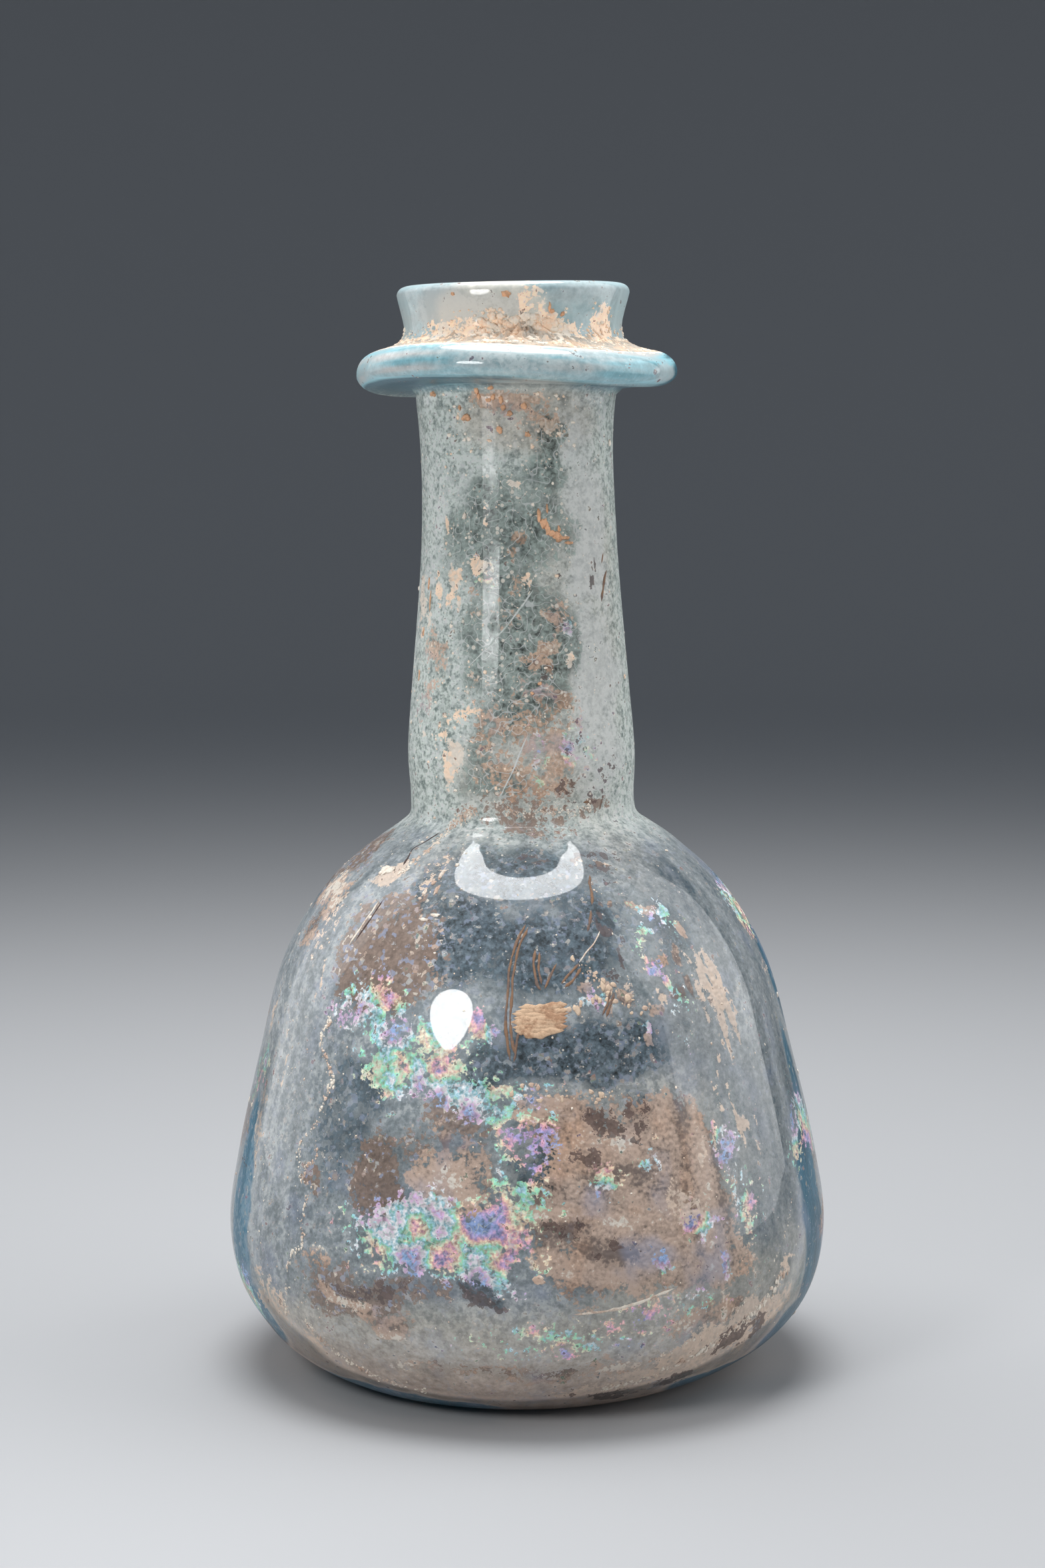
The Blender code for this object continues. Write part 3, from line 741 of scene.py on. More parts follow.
def strand(outline, path, width, thickness, seed, sides=8):
    """A flat strand along a path on the wall. A ring is centre + width cos a across + thickness sin a
    outwards, its width made uneven by seeded noise and drawn in to a point at both ends."""
    turn, height = np.array(path, float).T
    along = reach(outline, height)
    radius = np.interp(along, along_outside(outline), outline[:, 0])
    flat = curve_through(np.column_stack([np.radians(turn) * radius.mean(), along]), 14)
    heading = np.gradient(flat, axis=0)
    heading /= np.linalg.norm(heading, axis=1, keepdims=True)
    across = np.column_stack([-heading[:, 1], heading[:, 0]])
    count = len(flat)
    jitter = soft_noise(np.column_stack([flat, np.zeros(count)]), 0.9, seed, 2)
    taper = np.minimum(1.0, np.minimum(np.arange(count), np.arange(count)[::-1]) / 4.0)[1:-1]
    reach_out = width * (0.35 + 1.3 * jitter[1:-1]) * taper
    sway = (soft_noise(np.column_stack([flat, np.ones(count)]), 1.6, seed + 1, 2) - 0.5) * width * 1.6
    middle = flat + across * sway[:, None]
    a = np.arange(sides)[None, :] * 2.0 * np.pi / sides
    spread = reach_out[:, None] * np.cos(a)
    lift = (thickness * taper * (0.6 + 0.8 * jitter[1:-1]))[:, None] * np.sin(a)
    rings = middle[1:-1, None, :] + across[1:-1, None, :] * spread[..., None]
    flats = np.vstack([middle[:1], rings.reshape(-1, 2), middle[-1:]])
    lift = np.concatenate([[0.0], lift.ravel(), [0.0]])
    points = on_wall(outline, np.degrees(flats[:, 0] / radius.mean()), flats[:, 1], lift)
    return points, ring_quads(1, count - 2, sides), pole_caps(count - 2, sides)


def joined(parts):
    """Several meshes, each (points, quads, triangles), as one."""
    first = np.cumsum([0] + [len(points) for points, _, _ in parts[:-1]])
    points = np.vstack([points for points, _, _ in parts])
    quads = np.vstack([quads + start for (_, quads, _), start in zip(parts, first)])
    triangles = np.vstack([triangles + start for (_, _, triangles), start in zip(parts, first)])
    return points, quads, triangles


def strewn(seed, count, turns, heights, smallest, largest, thickness=0.6):
    """Crumbs strewn evenly over a span of turns and heights, more small ones than large."""
    draw = np.random.default_rng(seed)
    turn = draw.uniform(*turns, count)
    height = draw.uniform(*heights, count)
    size = smallest + (largest - smallest) * draw.random(count) ** 2.5
    wide = size * draw.uniform(0.7, 1.4, count)
    tall = size * draw.uniform(0.7, 1.3, count)
    return list(zip(turn, height, wide, tall, size * thickness))


def heaped(seed, count, turns, low, high, smallest, largest):
    """Crumbs heaped against the groove's foot: height = low + (high - low) u squared, u even from 0 to 1."""
    draw = np.random.default_rng(seed)
    turn = draw.uniform(*turns, count)
    height = low + (high - low) * draw.random(count) ** 2.0
    size = smallest + (largest - smallest) * draw.random(count) ** 2.0
    return list(zip(turn, height, size * 1.2, size, size * 0.7))


def trail(seed, path, count, scatter, smallest, largest, thickness=0.5, upright=1.0):
    """Chips along a path on the wall, scattered about it by a bell curve, upright times as tall as wide."""
    draw = np.random.default_rng(seed)
    line = curve_through(path, 40)
    spot = line[draw.integers(0, len(line), count)]
    turn = spot[:, 0] + draw.normal(0.0, scatter * 1.6, count)
    height = spot[:, 1] + draw.normal(0.0, scatter, count)
    size = smallest + (largest - smallest) * draw.random(count) ** 2.0
    wide = size * draw.uniform(0.6, 1.3, count)
    tall = size * draw.uniform(0.7, 1.6, count) * upright
    return list(zip(turn, height, wide, tall, size * thickness))


def spots(turn, height, radius, places):
    """The strongest of several soft ellipses: full within half of an ellipse's size, a half at its edge,
    and nothing from one and a half times its size on."""
    strongest = np.zeros(len(height))
    for middle, level, half_width, half_height, strength in places:
        sideways = np.radians(to_front(turn - middle)) * radius / half_width
        upright = (height - level) / half_height
        inside = 1.0 - smooth_step(np.hypot(sideways, upright) - 0.5)
        strongest = np.maximum(strongest, strength * inside)
    return strongest


def soft_noise(points, size, seed, layers=3):
    """Smooth random numbers from 0 to 1 in space. Each layer joins random numbers on a cubic lattice by an
    even S, at half the spacing and half the strength of the layer before."""
    draw = np.random.default_rng(seed)
    total = np.zeros(len(points))
    strength = 1.0
    weight = 0.0
    for _ in range(layers):
        lattice = draw.random((32, 32, 32))
        spot = points / size + draw.uniform(0.0, 32.0, 3)
        cell = np.floor(spot).astype(int)
        share = smooth_step(spot - cell)
        for corner in np.ndindex(2, 2, 2):
            x, y, z = ((cell + corner) % 32).T
            near = np.prod(np.where(corner, share, 1.0 - share), axis=-1)
            total += strength * lattice[x, y, z] * near
        weight += strength
        strength *= 0.5
        size *= 0.5
    return total / weight


def scattered(seed, count, widest, tallest, strength):
    """Places for the back and sides, drawn from a fixed seed, no two sides of the bottle alike."""
    draw = np.random.default_rng(seed)
    turn = draw.uniform(72.0, 288.0, count)
    height = draw.uniform(6.0, 72.0, count)
    half_width = widest * draw.uniform(0.35, 1.0, count)
    half_height = tallest * draw.uniform(0.35, 1.0, count)
    return list(zip(turn, height, half_width, half_height, strength * draw.uniform(0.6, 1.0, count)))


def store(mesh, name, values):
    """Keeps one number for each point of a mesh, for its material to read."""
    layer = mesh.attributes.new(name, "FLOAT", "POINT")
    layer.data.foreach_set("value", np.ascontiguousarray(values, dtype=np.float32))


class Field:
    """A number that changes over the surface. Arithmetic on it adds Math nodes to its material."""

    def __init__(self, paint, socket):
        self.paint = paint
        self.socket = socket

    def math(self, operation, *values):
        sockets = dict(enumerate(values))
        return self.paint.node("ShaderNodeMath", {"operation": operation}, sockets)

    def __add__(self, other):
        return self.math("ADD", self, other)

    def __radd__(self, other):
        return self.math("ADD", other, self)

    def __sub__(self, other):
        return self.math("SUBTRACT", self, other)

    def __rsub__(self, other):
        return self.math("SUBTRACT", other, self)

    def __mul__(self, other):
        return self.math("MULTIPLY", self, other)

    def __rmul__(self, other):
        return self.math("MULTIPLY", other, self)

    def beside(self, name):
        """Another output of the same node."""
        return Field(self.paint, self.paint.find(self.socket.node.outputs, name))

    def most(self, other):
        return self.math("MAXIMUM", self, other)

    def least(self, other):
        return self.math("MINIMUM", self, other)

    def rise(self, low, high):
        """0 up to low, 1 from high on, and an even S between."""
        sockets = {"Value": self, "From Min": low, "From Max": high}
        return self.paint.node("ShaderNodeMapRange", {"interpolation_type": "SMOOTHSTEP"}, sockets)


class Paint:
    """A material and the nodes in it."""

    def __init__(self, name):
        self.material = bpy.data.materials.new(name)
        self.material.use_nodes = True
        self.tree = self.material.node_tree
        self.tree.nodes.clear()
        self.output = self.tree.nodes.new("ShaderNodeOutputMaterial")

    def node(self, kind, settings, sockets, output=None):
        """Adds a node, sets its settings, then its sockets by name or number, and gives an output."""
        made = self.tree.nodes.new(kind)
        for name, value in settings.items():
            if name == "stops":
                self.set_stops(made.color_ramp, value)
            else:
                setattr(made, name, value)
        for name, value in sockets.items():
            self.connect(self.find(made.inputs, name), value)
        return Field(self, self.find(made.outputs, output))

    def find(self, sockets, name):
        shown = [socket for socket in sockets if socket.enabled]
        if name is None:
            return shown[0]
        if isinstance(name, int):
            return shown[name]
        return next(socket for socket in shown if socket.name == name)

    def connect(self, socket, value):
        if isinstance(value, Field):
            self.tree.links.new(value.socket, socket)
        elif socket.type == "RGBA" and len(value) == 3:
            socket.default_value = (*value, 1.0)
        else:
            socket.default_value = value

    def set_stops(self, ramp, stops):
        while len(ramp.elements) > 1:
            ramp.elements.remove(ramp.elements[-1])
        ramp.elements[0].position = stops[0][0]
        ramp.elements[0].color = (*stops[0][1], 1.0)
        for position, shade in stops[1:]:
            ramp.elements.new(position).color = (*shade, 1.0)

    def place(self):
        """Object coordinates in millimetres."""
        where = self.node("ShaderNodeTexCoord", {}, {}, "Object")
        sockets = {"Vector": where, "Scale": (1 / MM, 1 / MM, 1 / MM)}
        return self.node("ShaderNodeMapping", {"vector_type": "POINT"}, sockets)

    def noise(self, where, size, detail=3.0, rough=0.55):
        """Soft noise between about 0.25 and 0.75, its blotches size millimetres across."""
        sockets = {"Vector": where, "Scale": 1.0 / size, "Detail": detail, "Roughness": rough}
        return self.node("ShaderNodeTexNoise", {}, sockets, "Fac")

    def flakes(self, where, size):
        """Distance from each flake's middle, in units of size, and two numbers from 0 to 1 drawn for it."""
        distance = self.node("ShaderNodeTexVoronoi", {}, {"Vector": where, "Scale": 1.0 / size}, "Distance")
        drawn = self.node("ShaderNodeSeparateColor", {}, {"Color": distance.beside("Color")}, "Red")
        return distance, drawn, drawn.beside("Green")

    def mask(self, name):
        return self.node("ShaderNodeAttribute", {"attribute_name": name}, {}, "Fac")

    def blend(self, share, first, second):
        """Colour first where share is 0 and second where it is 1."""
        return self.node("ShaderNodeMix", {"data_type": "RGBA"}, {"Factor": share, "A": first, "B": second})

    def shaded(self, shade, amount):
        """A colour made lighter or darker, evenly in its three channels."""
        sockets = {0: shade, "Scale": amount}
        return self.node("ShaderNodeVectorMath", {"operation": "SCALE"}, sockets)

    def ramp(self, value, stops):
        return self.node("ShaderNodeValToRGB", {"stops": stops}, {"Fac": value}, "Color")

    def bump(self, height, strength, distance):
        return self.node("ShaderNodeBump", {}, {"Height": height, "Strength": strength, "Distance": distance})

    def principled(self, **sockets):
        named = {name.replace("_", " "): value for name, value in sockets.items()}
        return self.node("ShaderNodeBsdfPrincipled", {}, named)

    def mix_shaders(self, share, first, second):
        return self.node("ShaderNodeMixShader", {}, {"Fac": share, 1: first, 2: second})

    def finish(self, surface, volume=None):
        self.tree.links.new(surface.socket, self.output.inputs["Surface"])
        if volume is not None:
            self.tree.links.new(volume.socket, self.output.inputs["Volume"])
        return self.material


RAINBOW = [
    (0.12, tint(138, 164, 214)),
    (0.24, tint(180, 160, 214)),
    (0.33, tint(240, 174, 188)),
    (0.40, tint(240, 208, 176)),
    (0.46, tint(236, 236, 208)),
    (0.52, tint(148, 222, 178)),
    (0.59, tint(154, 206, 222)),
    (0.66, tint(234, 236, 236)),
    (0.73, tint(214, 172, 208)),
    (0.84, tint(142, 176, 222)),
]


WOOD_TINTS = (tint(210, 178, 148), tint(176, 138, 110))
TAN_TINT = tint(214, 190, 166)


def dimmed(shade, amount):
    """A colour made lighter or darker."""
    return tuple(channel * amount for channel in shade)


def clear_glass(paint):
    """Smooth glass."""
    return paint.principled(Base_Color=(0.97, 0.99, 0.99), Roughness=0.03, IOR=1.51, Transmission_Weight=1.0)


def lamp_lit(paint, surface, let_through):
    """The surface as seen, while lamps shine through it evenly, dimmed to the colour let_through."""
    open_air = paint.node("ShaderNodeBsdfTransparent", {}, {"Color": let_through})
    in_shadow = paint.node("ShaderNodeLightPath", {}, {}, "Is Shadow Ray")
    return paint.mix_shaders(in_shadow, surface, open_air)


def wall_depth(paint, finish):
    """The glass's own aqua, which deepens with the length of wall that is looked through."""
    sockets = {"Color": (0.10, 0.76, 0.84), "Density": finish.glass_depth}
    return paint.node("ShaderNodeVolumeAbsorption", {}, sockets)


def film_stops(places, dark, film, share, milk):
    """Ramp stops from a dark colour, the painted shade of the dark inside behind bare glass and on the collar
    the painted shade under it, through a thin film, dimmed to a share, and a full one to thick milk.
    """
    return list(zip(places, (dark, dimmed(film, share), film, milk)))


def weathering(paint, finish, outside):
    """The film's colour, how much of the glass it hides, and how rough it is."""
    where = paint.place()
    height = paint.node("ShaderNodeSeparateXYZ", {}, {"Vector": where}, "Z")
    mottle = paint.noise(where, MOTTLE_SIZE, 3.0 if outside else 2.0, 0.74)
    fine = paint.noise(where, GRAIN_SIZE, 1.0) - 0.5
    if outside:
        spread, chip, chance = paint.flakes(where, FLAKE_SIZE)
    else:
        chip, chance = fine + 0.5, mottle
    tone = paint.mask("tone")
    grain = paint.mask("grain")
    hue = paint.mask("hue")
    fleck = chip - 0.5
    luck = (chance - 0.5) * 0.4
    cloud = (mottle - 0.5) * 1.5
    ragged = cloud + fleck * 0.3 + fine * 0.4

    # Film of the body, the neck, and the collar with the lip; each ramp's dark end is painted shade
    on_neck = (height + tone * 8.0).rise(*NECK_FILM)
    on_collar = height.rise(*COLLAR_FILM)
    at_foot = height.rise(*FOOT_FILM)
    off_neck = 1.0 - on_neck
    off_collar = 1.0 - on_collar
    depth = 0.54 + tone * 0.66 + cloud * 0.32 + fleck * 0.1 + fine * 0.45
    crisp = depth + cloud * 0.4 + fine * 0.7 + fleck * 0.14
    body = film_stops((0.1, 0.36, 0.58, 0.92), finish.inside_shade_slate, finish.body_film, 0.7, finish.milk)
    neck = film_stops((0.1, 0.4, 0.56, 0.84), finish.neck_inside_shade_slate, finish.neck_film, 0.7, finish.milk)
    rim = film_stops((0.1, 0.34, 0.5, 0.84), finish.collar_shade_teal, finish.collar_film, 0.72, finish.milk)
    shade = paint.blend(on_neck, paint.ramp(depth, body), paint.ramp(crisp, neck))
    warm = (paint.mask("warm") + cloud * 0.3 + at_foot * 0.35).rise(0.2, 1.1) * 0.8
    earthy = paint.blend(at_foot * 0.9, finish.warm_film, finish.earth)
    # Painted light: the warm film is lightened towards the foot, which the lamps reach less
    shade = paint.blend(warm * off_collar, shade, paint.shaded(earthy, 0.42 + depth + at_foot * 0.56))
    thin = paint.blend(warm, paint.ramp(0.58 + tone, rim), paint.shaded(finish.warm_film, 1.8))
    shade = paint.blend(on_collar, shade, paint.shaded(thin, 1.0 + cloud * 0.1))

    # Clear aqua glass with a painted edge glow, and film that has peeled or worn thin, bared to slate, the
    # painted shade of the dark inside
    aqua = (paint.mask("aqua") + ragged * 0.2).rise(0.3, 0.7)
    shade = paint.blend(aqua * 0.9, shade, paint.shaded(finish.aqua, 0.9 + tone * 1.2))
    peel = (mottle + tone * 0.5 + fine * 0.12).rise(0.53, 0.545)
    shade = paint.blend(peel * 0.15 * off_collar, shade, finish.milk)
    bared = (mottle * -1.0 + chip * 0.08 + tone * 0.5).rise(-0.43, -0.42)
    shade = paint.blend(bared * 0.18 * off_collar * (1.0 - at_foot), shade, finish.inside_shade_slate)
    shade = paint.blend(hue.rise(0.5, 1.0) * 0.4 * off_neck, shade, finish.lilac)
    # The milk mask also holds painted light: highlight streaks along the collar, a painted reflection down
    # the neck's right, and a lighter band low at the front
    milk = (paint.mask("milk") + ragged * 0.5).rise(0.3, 0.85)
    shade = paint.blend(milk * 0.6, shade, finish.milk)
    # Where the film has come away, painted shade of the dark inside is laid on as slate, and the film is made
    # more opaque there
    clear = (paint.mask("clear") + ragged * 0.8).rise(0.34, 0.62)
    shaded_bare_glass = paint.blend(on_neck, finish.inside_shade_slate, finish.neck_inside_shade_slate)
    light = 0.9 + tone * 0.6 + cloud * 0.6
    glint = light + cloud * 1.5 + fleck * 0.6 + fine * 2.0
    shade = paint.blend(clear * 0.82, shade, paint.shaded(shaded_bare_glass, glint))

    # Brown stain, with scraps of old film on it
    brown = (paint.mask("brown") + ragged * 1.1 + grain * 0.3).rise(0.36, 0.54)
    shade = paint.blend(brown * 0.9, shade, paint.shaded(finish.brown, light + fleck * 0.2 + fine * 0.8))
    scrap_here = chance.rise(0.6, 0.64) * (mottle + tone * 0.3).rise(0.46, 0.52)
    scrap_share = scrap_here * (0.24 + brown * 0.45 + clear * 0.25) * off_neck
    scraps = [
        (0.3, finish.lilac),
        (0.55, dimmed(finish.milk, 0.8)),
        (0.7, finish.lilac),
        (0.8, finish.earth),
        (0.95, finish.lime),
    ]
    shade = paint.blend(scrap_share, shade, paint.ramp(chip, scraps))

    # Soil, more orange on the neck
    earth = (paint.mask("earth") + ragged * 0.9 + grain * 0.7).rise(0.42, 0.54)
    ground = 0.5 + tone * 0.5 + cloud * 0.7 + grain * 2.2 + fleck * 0.24 + fine * 0.8
    soil = [
        (0.16, finish.earth_dark),
        (0.34, dimmed(finish.earth, 0.54)),
        (0.38, dimmed(finish.earth, 0.72)),
        (0.58, dimmed(finish.earth, 0.86)),
        (0.62, finish.earth),
        (0.86, finish.earth),
        (1.0, finish.lime),
    ]
    orange = paint.shaded(finish.rust, 0.66 + cloud * 0.8 + fine * 1.4)
    orange_share = on_neck * 0.5 + (0.42 - hue).rise(0.0, 0.25) * 0.4 * off_neck
    soil_shade = paint.blend(orange_share, paint.ramp(ground, soil), orange)
    shade = paint.blend(earth * (0.88 - on_neck * 0.14), shade, soil_shade)
    shade = paint.blend(earth * hue.rise(0.5, 0.9) * 0.45, shade, finish.lilac)

    # Iridescence
    sheen = (paint.mask("sheen") + ragged * 1.25 + luck).rise(0.46, 0.54)
    lustre = paint.ramp(hue + fleck * 0.1 + cloud * 0.2 + fine * 0.16, RAINBOW)
    lustre = paint.shaded(lustre, 0.74 + chance * 0.4 + cloud * 1.4 + fine * 1.6)
    shade = paint.blend(sheen * (0.8 - on_neck * 0.3), shade, lustre)
    if outside:
        curls = paint.noise(where, CURL_SIZE, 0.0)
        curl = curls.math("COMPARE", curls, 0.5, 0.02) * off_collar
        curl_share = on_neck * (0.25 + clear * 0.35) + sheen * 0.5
        shade = paint.blend(curl * curl_share, shade, finish.milk)

    # Lime crust and dark spots
    crust = (paint.mask("crust") + ragged * 1.1).rise(0.46, 0.54)
    peachy = (hue + on_collar * 0.06 + fleck * 0.4).rise(0.5, 0.66) * (0.3 + on_neck * 0.7)
    gritty = paint.blend(peachy, paint.blend(0.6 - on_neck * 0.5, finish.lime, finish.earth), finish.peach)
    # Painted light: the crust is lightened on the collar and lip, where the front light falls weakly
    gritty = paint.shaded(gritty, 1.0 + on_collar * 0.36 + cloud * 0.4 + fine * 0.3)
    shade = paint.blend(crust * 0.92, shade, gritty)
    stain = (paint.mask("stain") + ragged * 1.7 + luck).rise(0.56, 0.66)
    shade = paint.blend(stain * 0.8, shade, paint.shaded(finish.stain, 0.8 + chip * 0.9))

    # How much is hidden, and how dull it is
    solid = milk.most(brown).most(earth).most(sheen).most(stain).most(crust)
    cover = 0.78 + cloud * 0.45 + tone * 0.4 + on_neck * 0.2 - on_collar * 0.2
    cover = cover.most(clear * 0.62).most(solid * 0.92)
    if outside:
        crowd = 0.23 + clear * 0.03 + on_neck * (0.12 + clear * 0.16) - on_collar * 0.1
        speck = (chip * chance * crowd - spread).rise(0.0, 0.05)
        shade = paint.blend(speck * 0.7, shade, paint.shaded(finish.lime, 0.7 + chance * 0.36))
        cover = cover.most(speck)
    dull = 0.36 + earth.most(crust) * 0.4 + milk * 0.1 + stain * 0.2 + on_neck * off_collar * 0.2
    return shade, cover, dull


def outer_glass(finish):
    """The outside: glass under a broken film, which near the body's edges gives way to the wall's depth."""
    paint = Paint("weathered_glass_outside")
    shade, cover, dull = weathering(paint, finish, True)
    glance = paint.node("ShaderNodeLayerWeight", {}, {"Blend": 0.5}, "Facing")
    thin_edge_glow = paint.mask("aqua").rise(0.3, 0.7) * (0.45 - glance.rise(0.4, 0.7) * 0.45)
    edge = glance.rise(0.64, 0.70) * (1.0 - glance.rise(0.86, 0.94) * 0.6) * paint.mask("bare")
    cover = cover.most(glance.rise(0.48, 0.64) * 0.94) * (1.0 - thin_edge_glow)
    cover = (cover * (1.0 - edge * 0.94)).least(1.0).most(0.0)
    crumbs = paint.mask("earth").most(paint.mask("crust"))
    bumps = paint.noise(paint.place(), RELIEF_SIZE, 0.0) * (1.0 + crumbs * 1.6)
    gloss = (1.0 - crumbs.rise(0.4, 0.6) * 0.6) * (1.0 - paint.mask("matt"))
    film = paint.principled(
        Base_Color=shade,
        Roughness=dull,
        IOR=1.3,
        Normal=paint.bump(bumps, 0.4, 0.00012),
        Coat_Weight=gloss * (1.0 - glance.rise(0.52, 0.76) * 0.85),
        Coat_Roughness=0.03,
    )
    surface = lamp_lit(paint, paint.mix_shaders(cover, clear_glass(paint), film), OUTER_SHADE)
    return paint.finish(surface, wall_depth(paint, finish))


def inner_glass(finish):
    """The inside: the same finishes, thicker, as the earth that filled the bottle left them."""
    paint = Paint("weathered_glass_inside")
    shade, cover, dull = weathering(paint, finish, False)
    thin_edge_glow = paint.mask("aqua").rise(0.3, 0.7) * 0.45
    cover = ((cover * 1.1 + 0.12) * (1.0 - thin_edge_glow)).least(0.97).most(0.0)
    film = paint.principled(Base_Color=shade, Roughness=dull + 0.2, IOR=1.45)
    surface = lamp_lit(paint, paint.mix_shaders(cover, clear_glass(paint), film), INNER_SHADE)
    return paint.finish(surface, wall_depth(paint, finish))


def crumbly(name, pale, dark, size):
    """A dry, matt, grainy finish between two colours, with painted shade in the grain's hollows."""
    paint = Paint(name)
    where = paint.place()
    grain = paint.noise(where, size, 3.0, 0.7)
    patch = paint.noise(where, size * 6.0, 2.0)
    shade = paint.blend((patch + (grain - 0.5) * 0.5).rise(0.36, 0.58), dark, pale)
    # Painted shade: darker where the grain is low, in the hollows of the bump that the same grain raises,
    # over the grain's own tone
    shade = paint.shaded(shade, 0.82 + grain * 0.44)
    relief = paint.bump(grain, 0.6, 0.00015)
    surface = paint.principled(Base_Color=shade, Roughness=0.85, Normal=relief, Specular_IOR_Level=0.3)
    return paint.finish(surface)


def store_finishes(mesh, points, turn, radius, ragged):
    """Stores a mask for each finish: its places, set wandering and frayed by noise below the collar."""
    height = points[:, 2]
    below_collar = 1.0 - 0.75 * span(height, 134.0, 2.0)
    wander = [soft_noise(points, 6.0, seed) - 0.5 for seed in (21, 22)]
    warped_turn = turn + np.degrees(wander[0] * 9.0 / np.maximum(radius, 4.0)) * below_collar
    warped_height = height + wander[1] * 7.0 * span(below_collar, 0.25, 0.75)
    finishes = {
        "clear": CLEAR_PLACES + scattered(3, 18, 9.0, 7.0, 0.7),
        "brown": BROWN_PLACES + scattered(4, 12, 9.0, 5.0, 0.75),
        "earth": EARTH_PLACES + scattered(5, 18, 8.0, 5.0, 0.7),
        "sheen": SHEEN_PLACES + scattered(6, 22, 7.0, 5.0, 0.85),
        "stain": STAIN_PLACES + scattered(7, 20, 2.5, 1.6, 0.9),
        "milk": MILK_AND_HIGHLIGHT_PLACES + scattered(8, 18, 10.0, 12.0, 0.7),
        "crust": CRUST_PLACES + scattered(9, 30, 3.0, 3.0, 0.7),
    }
    for name, places in finishes.items():
        mask = spots(warped_turn, warped_height, radius, places)
        store(mesh, name, mask + ragged * (0.2 + mask) * 1.1 * below_collar)


def body_tone(points, signed, streaks, bands):
    """How light the film is on body and neck: clouds, upright streaks, level bands at the foot, and painted
    shade darkening the body's right side.
    """
    height = points[:, 2]
    on_body = span(height, 76.0, -6.0)
    at_foot = span(height, 16.0, -7.0)
    aside = span(np.abs(signed), 38.0, 16.0) * on_body
    wrinkles = soft_noise(around(38.0, signed, height * 0.1), 1.1, 34, 2)
    clouds = soft_noise(points, 16.0, 25) - 0.5
    shadows = soft_noise(points, 5.0, 28) - 0.5
    lines = (streaks - 0.5) * 0.3 + (wrinkles - 0.5) * 0.55 * aside
    # Painted shade: the body's film is darkened towards its right, where the right card lights it most
    to_right = span(np.minimum(signed, 90.0), 26.0, 18.0) * (signed < 120.0)
    tone = clouds * 0.5 + shadows * 0.25 + lines * (1.0 - at_foot) + (bands - 0.5) * 0.4 * at_foot
    return tone - 0.22 * to_right * on_body


def rim_tone(outline, turn, height, signed, sides):
    """How light the film is on collar and lip: swirls, painted shade under the collar and at its two ends,
    and painted light on the collar's top and the lip.
    """
    profile = along_outside(outline)
    along = np.concatenate([profile[:1], np.repeat(profile[1:-1], sides), profile[-1:]])
    swirl = soft_noise(around(1.6, turn, along), 0.9, 35) - 0.5
    # Painted shade on the collar's underside, which faces down, away from the lamps
    under = span(height, COLLAR_Z - 1.2, -0.8)
    on_lip = span(height, COLLAR_Z + COLLAR_RISE, 1.5)
    # Painted shade at the collar's two ends as seen from the front, stronger at the right end
    ends = span(np.abs(signed - 6.0), 56.0, 26.0) * (np.abs(signed) < 120.0)
    ends = ends * (0.3 + 0.26 * np.sign(signed))
    # Painted light on the collar's top and the lip, under the softbox
    top = 0.14 * span(height, COLLAR_Z, 2.0)
    return swirl * (1.1 - 0.9 * on_lip) - 0.46 * under - ends * (1.0 - on_lip) + top


def store_tones(mesh, outline, points, turn, radius, ragged, sides):
    """Stores the masks that shade the film, and those that say where it is bare, matt or warm."""
    height = points[:, 2]
    signed = to_front(turn)
    streaks = soft_noise(around(38.0, turn, height * 0.1), 2.2, 24)
    bands = soft_noise(points * (0.25, 0.25, 1.0), 1.8, 26)
    tone = body_tone(points, signed, streaks, bands)
    rim = rim_tone(outline, turn, height, signed, sides)
    store(mesh, "tone", tone + (rim - tone) * span(height, 135.2, 1.0))
    # Painted edge glow: aqua laid on where the camera sees the wall edge on
    aqua = spots(turn + ragged * 6.0, height + ragged * 3.0, radius, PAINTED_EDGE_GLOW_PLACES)
    store(mesh, "aqua", aqua)
    bare = np.maximum(span(height, 54.0, -14.0) * 0.6, 0.1)
    store(mesh, "bare", bare * (1.0 - smooth_step(aqua * 1.4)) * (0.75 + 0.5 * streaks))
    to_right = span(turn, 24.0, 12.0) * (turn < 180.0)
    store(mesh, "grain", (bands - 0.5) * (1.0 - to_right) + (streaks - 0.5) * to_right)
    store(mesh, "hue", soft_noise(points, 4.0, 27) * 1.36 - 0.18)
    warmth = spots(turn, height, radius, WARM_PLACES)
    store(mesh, "warm", warmth + (soft_noise(points, 11.0, 29) - 0.4) * 0.6)
    gloss = spots(turn, height, radius, GLOSS_PLACES) * span(soft_noise(points, 2.0, 30), 0.42, 0.16)
    neck = span(height, 74.0, 4.0) * (height < 134.0)
    store(mesh, "matt", np.maximum(neck * (0.97 - gloss), smooth_step(aqua)))


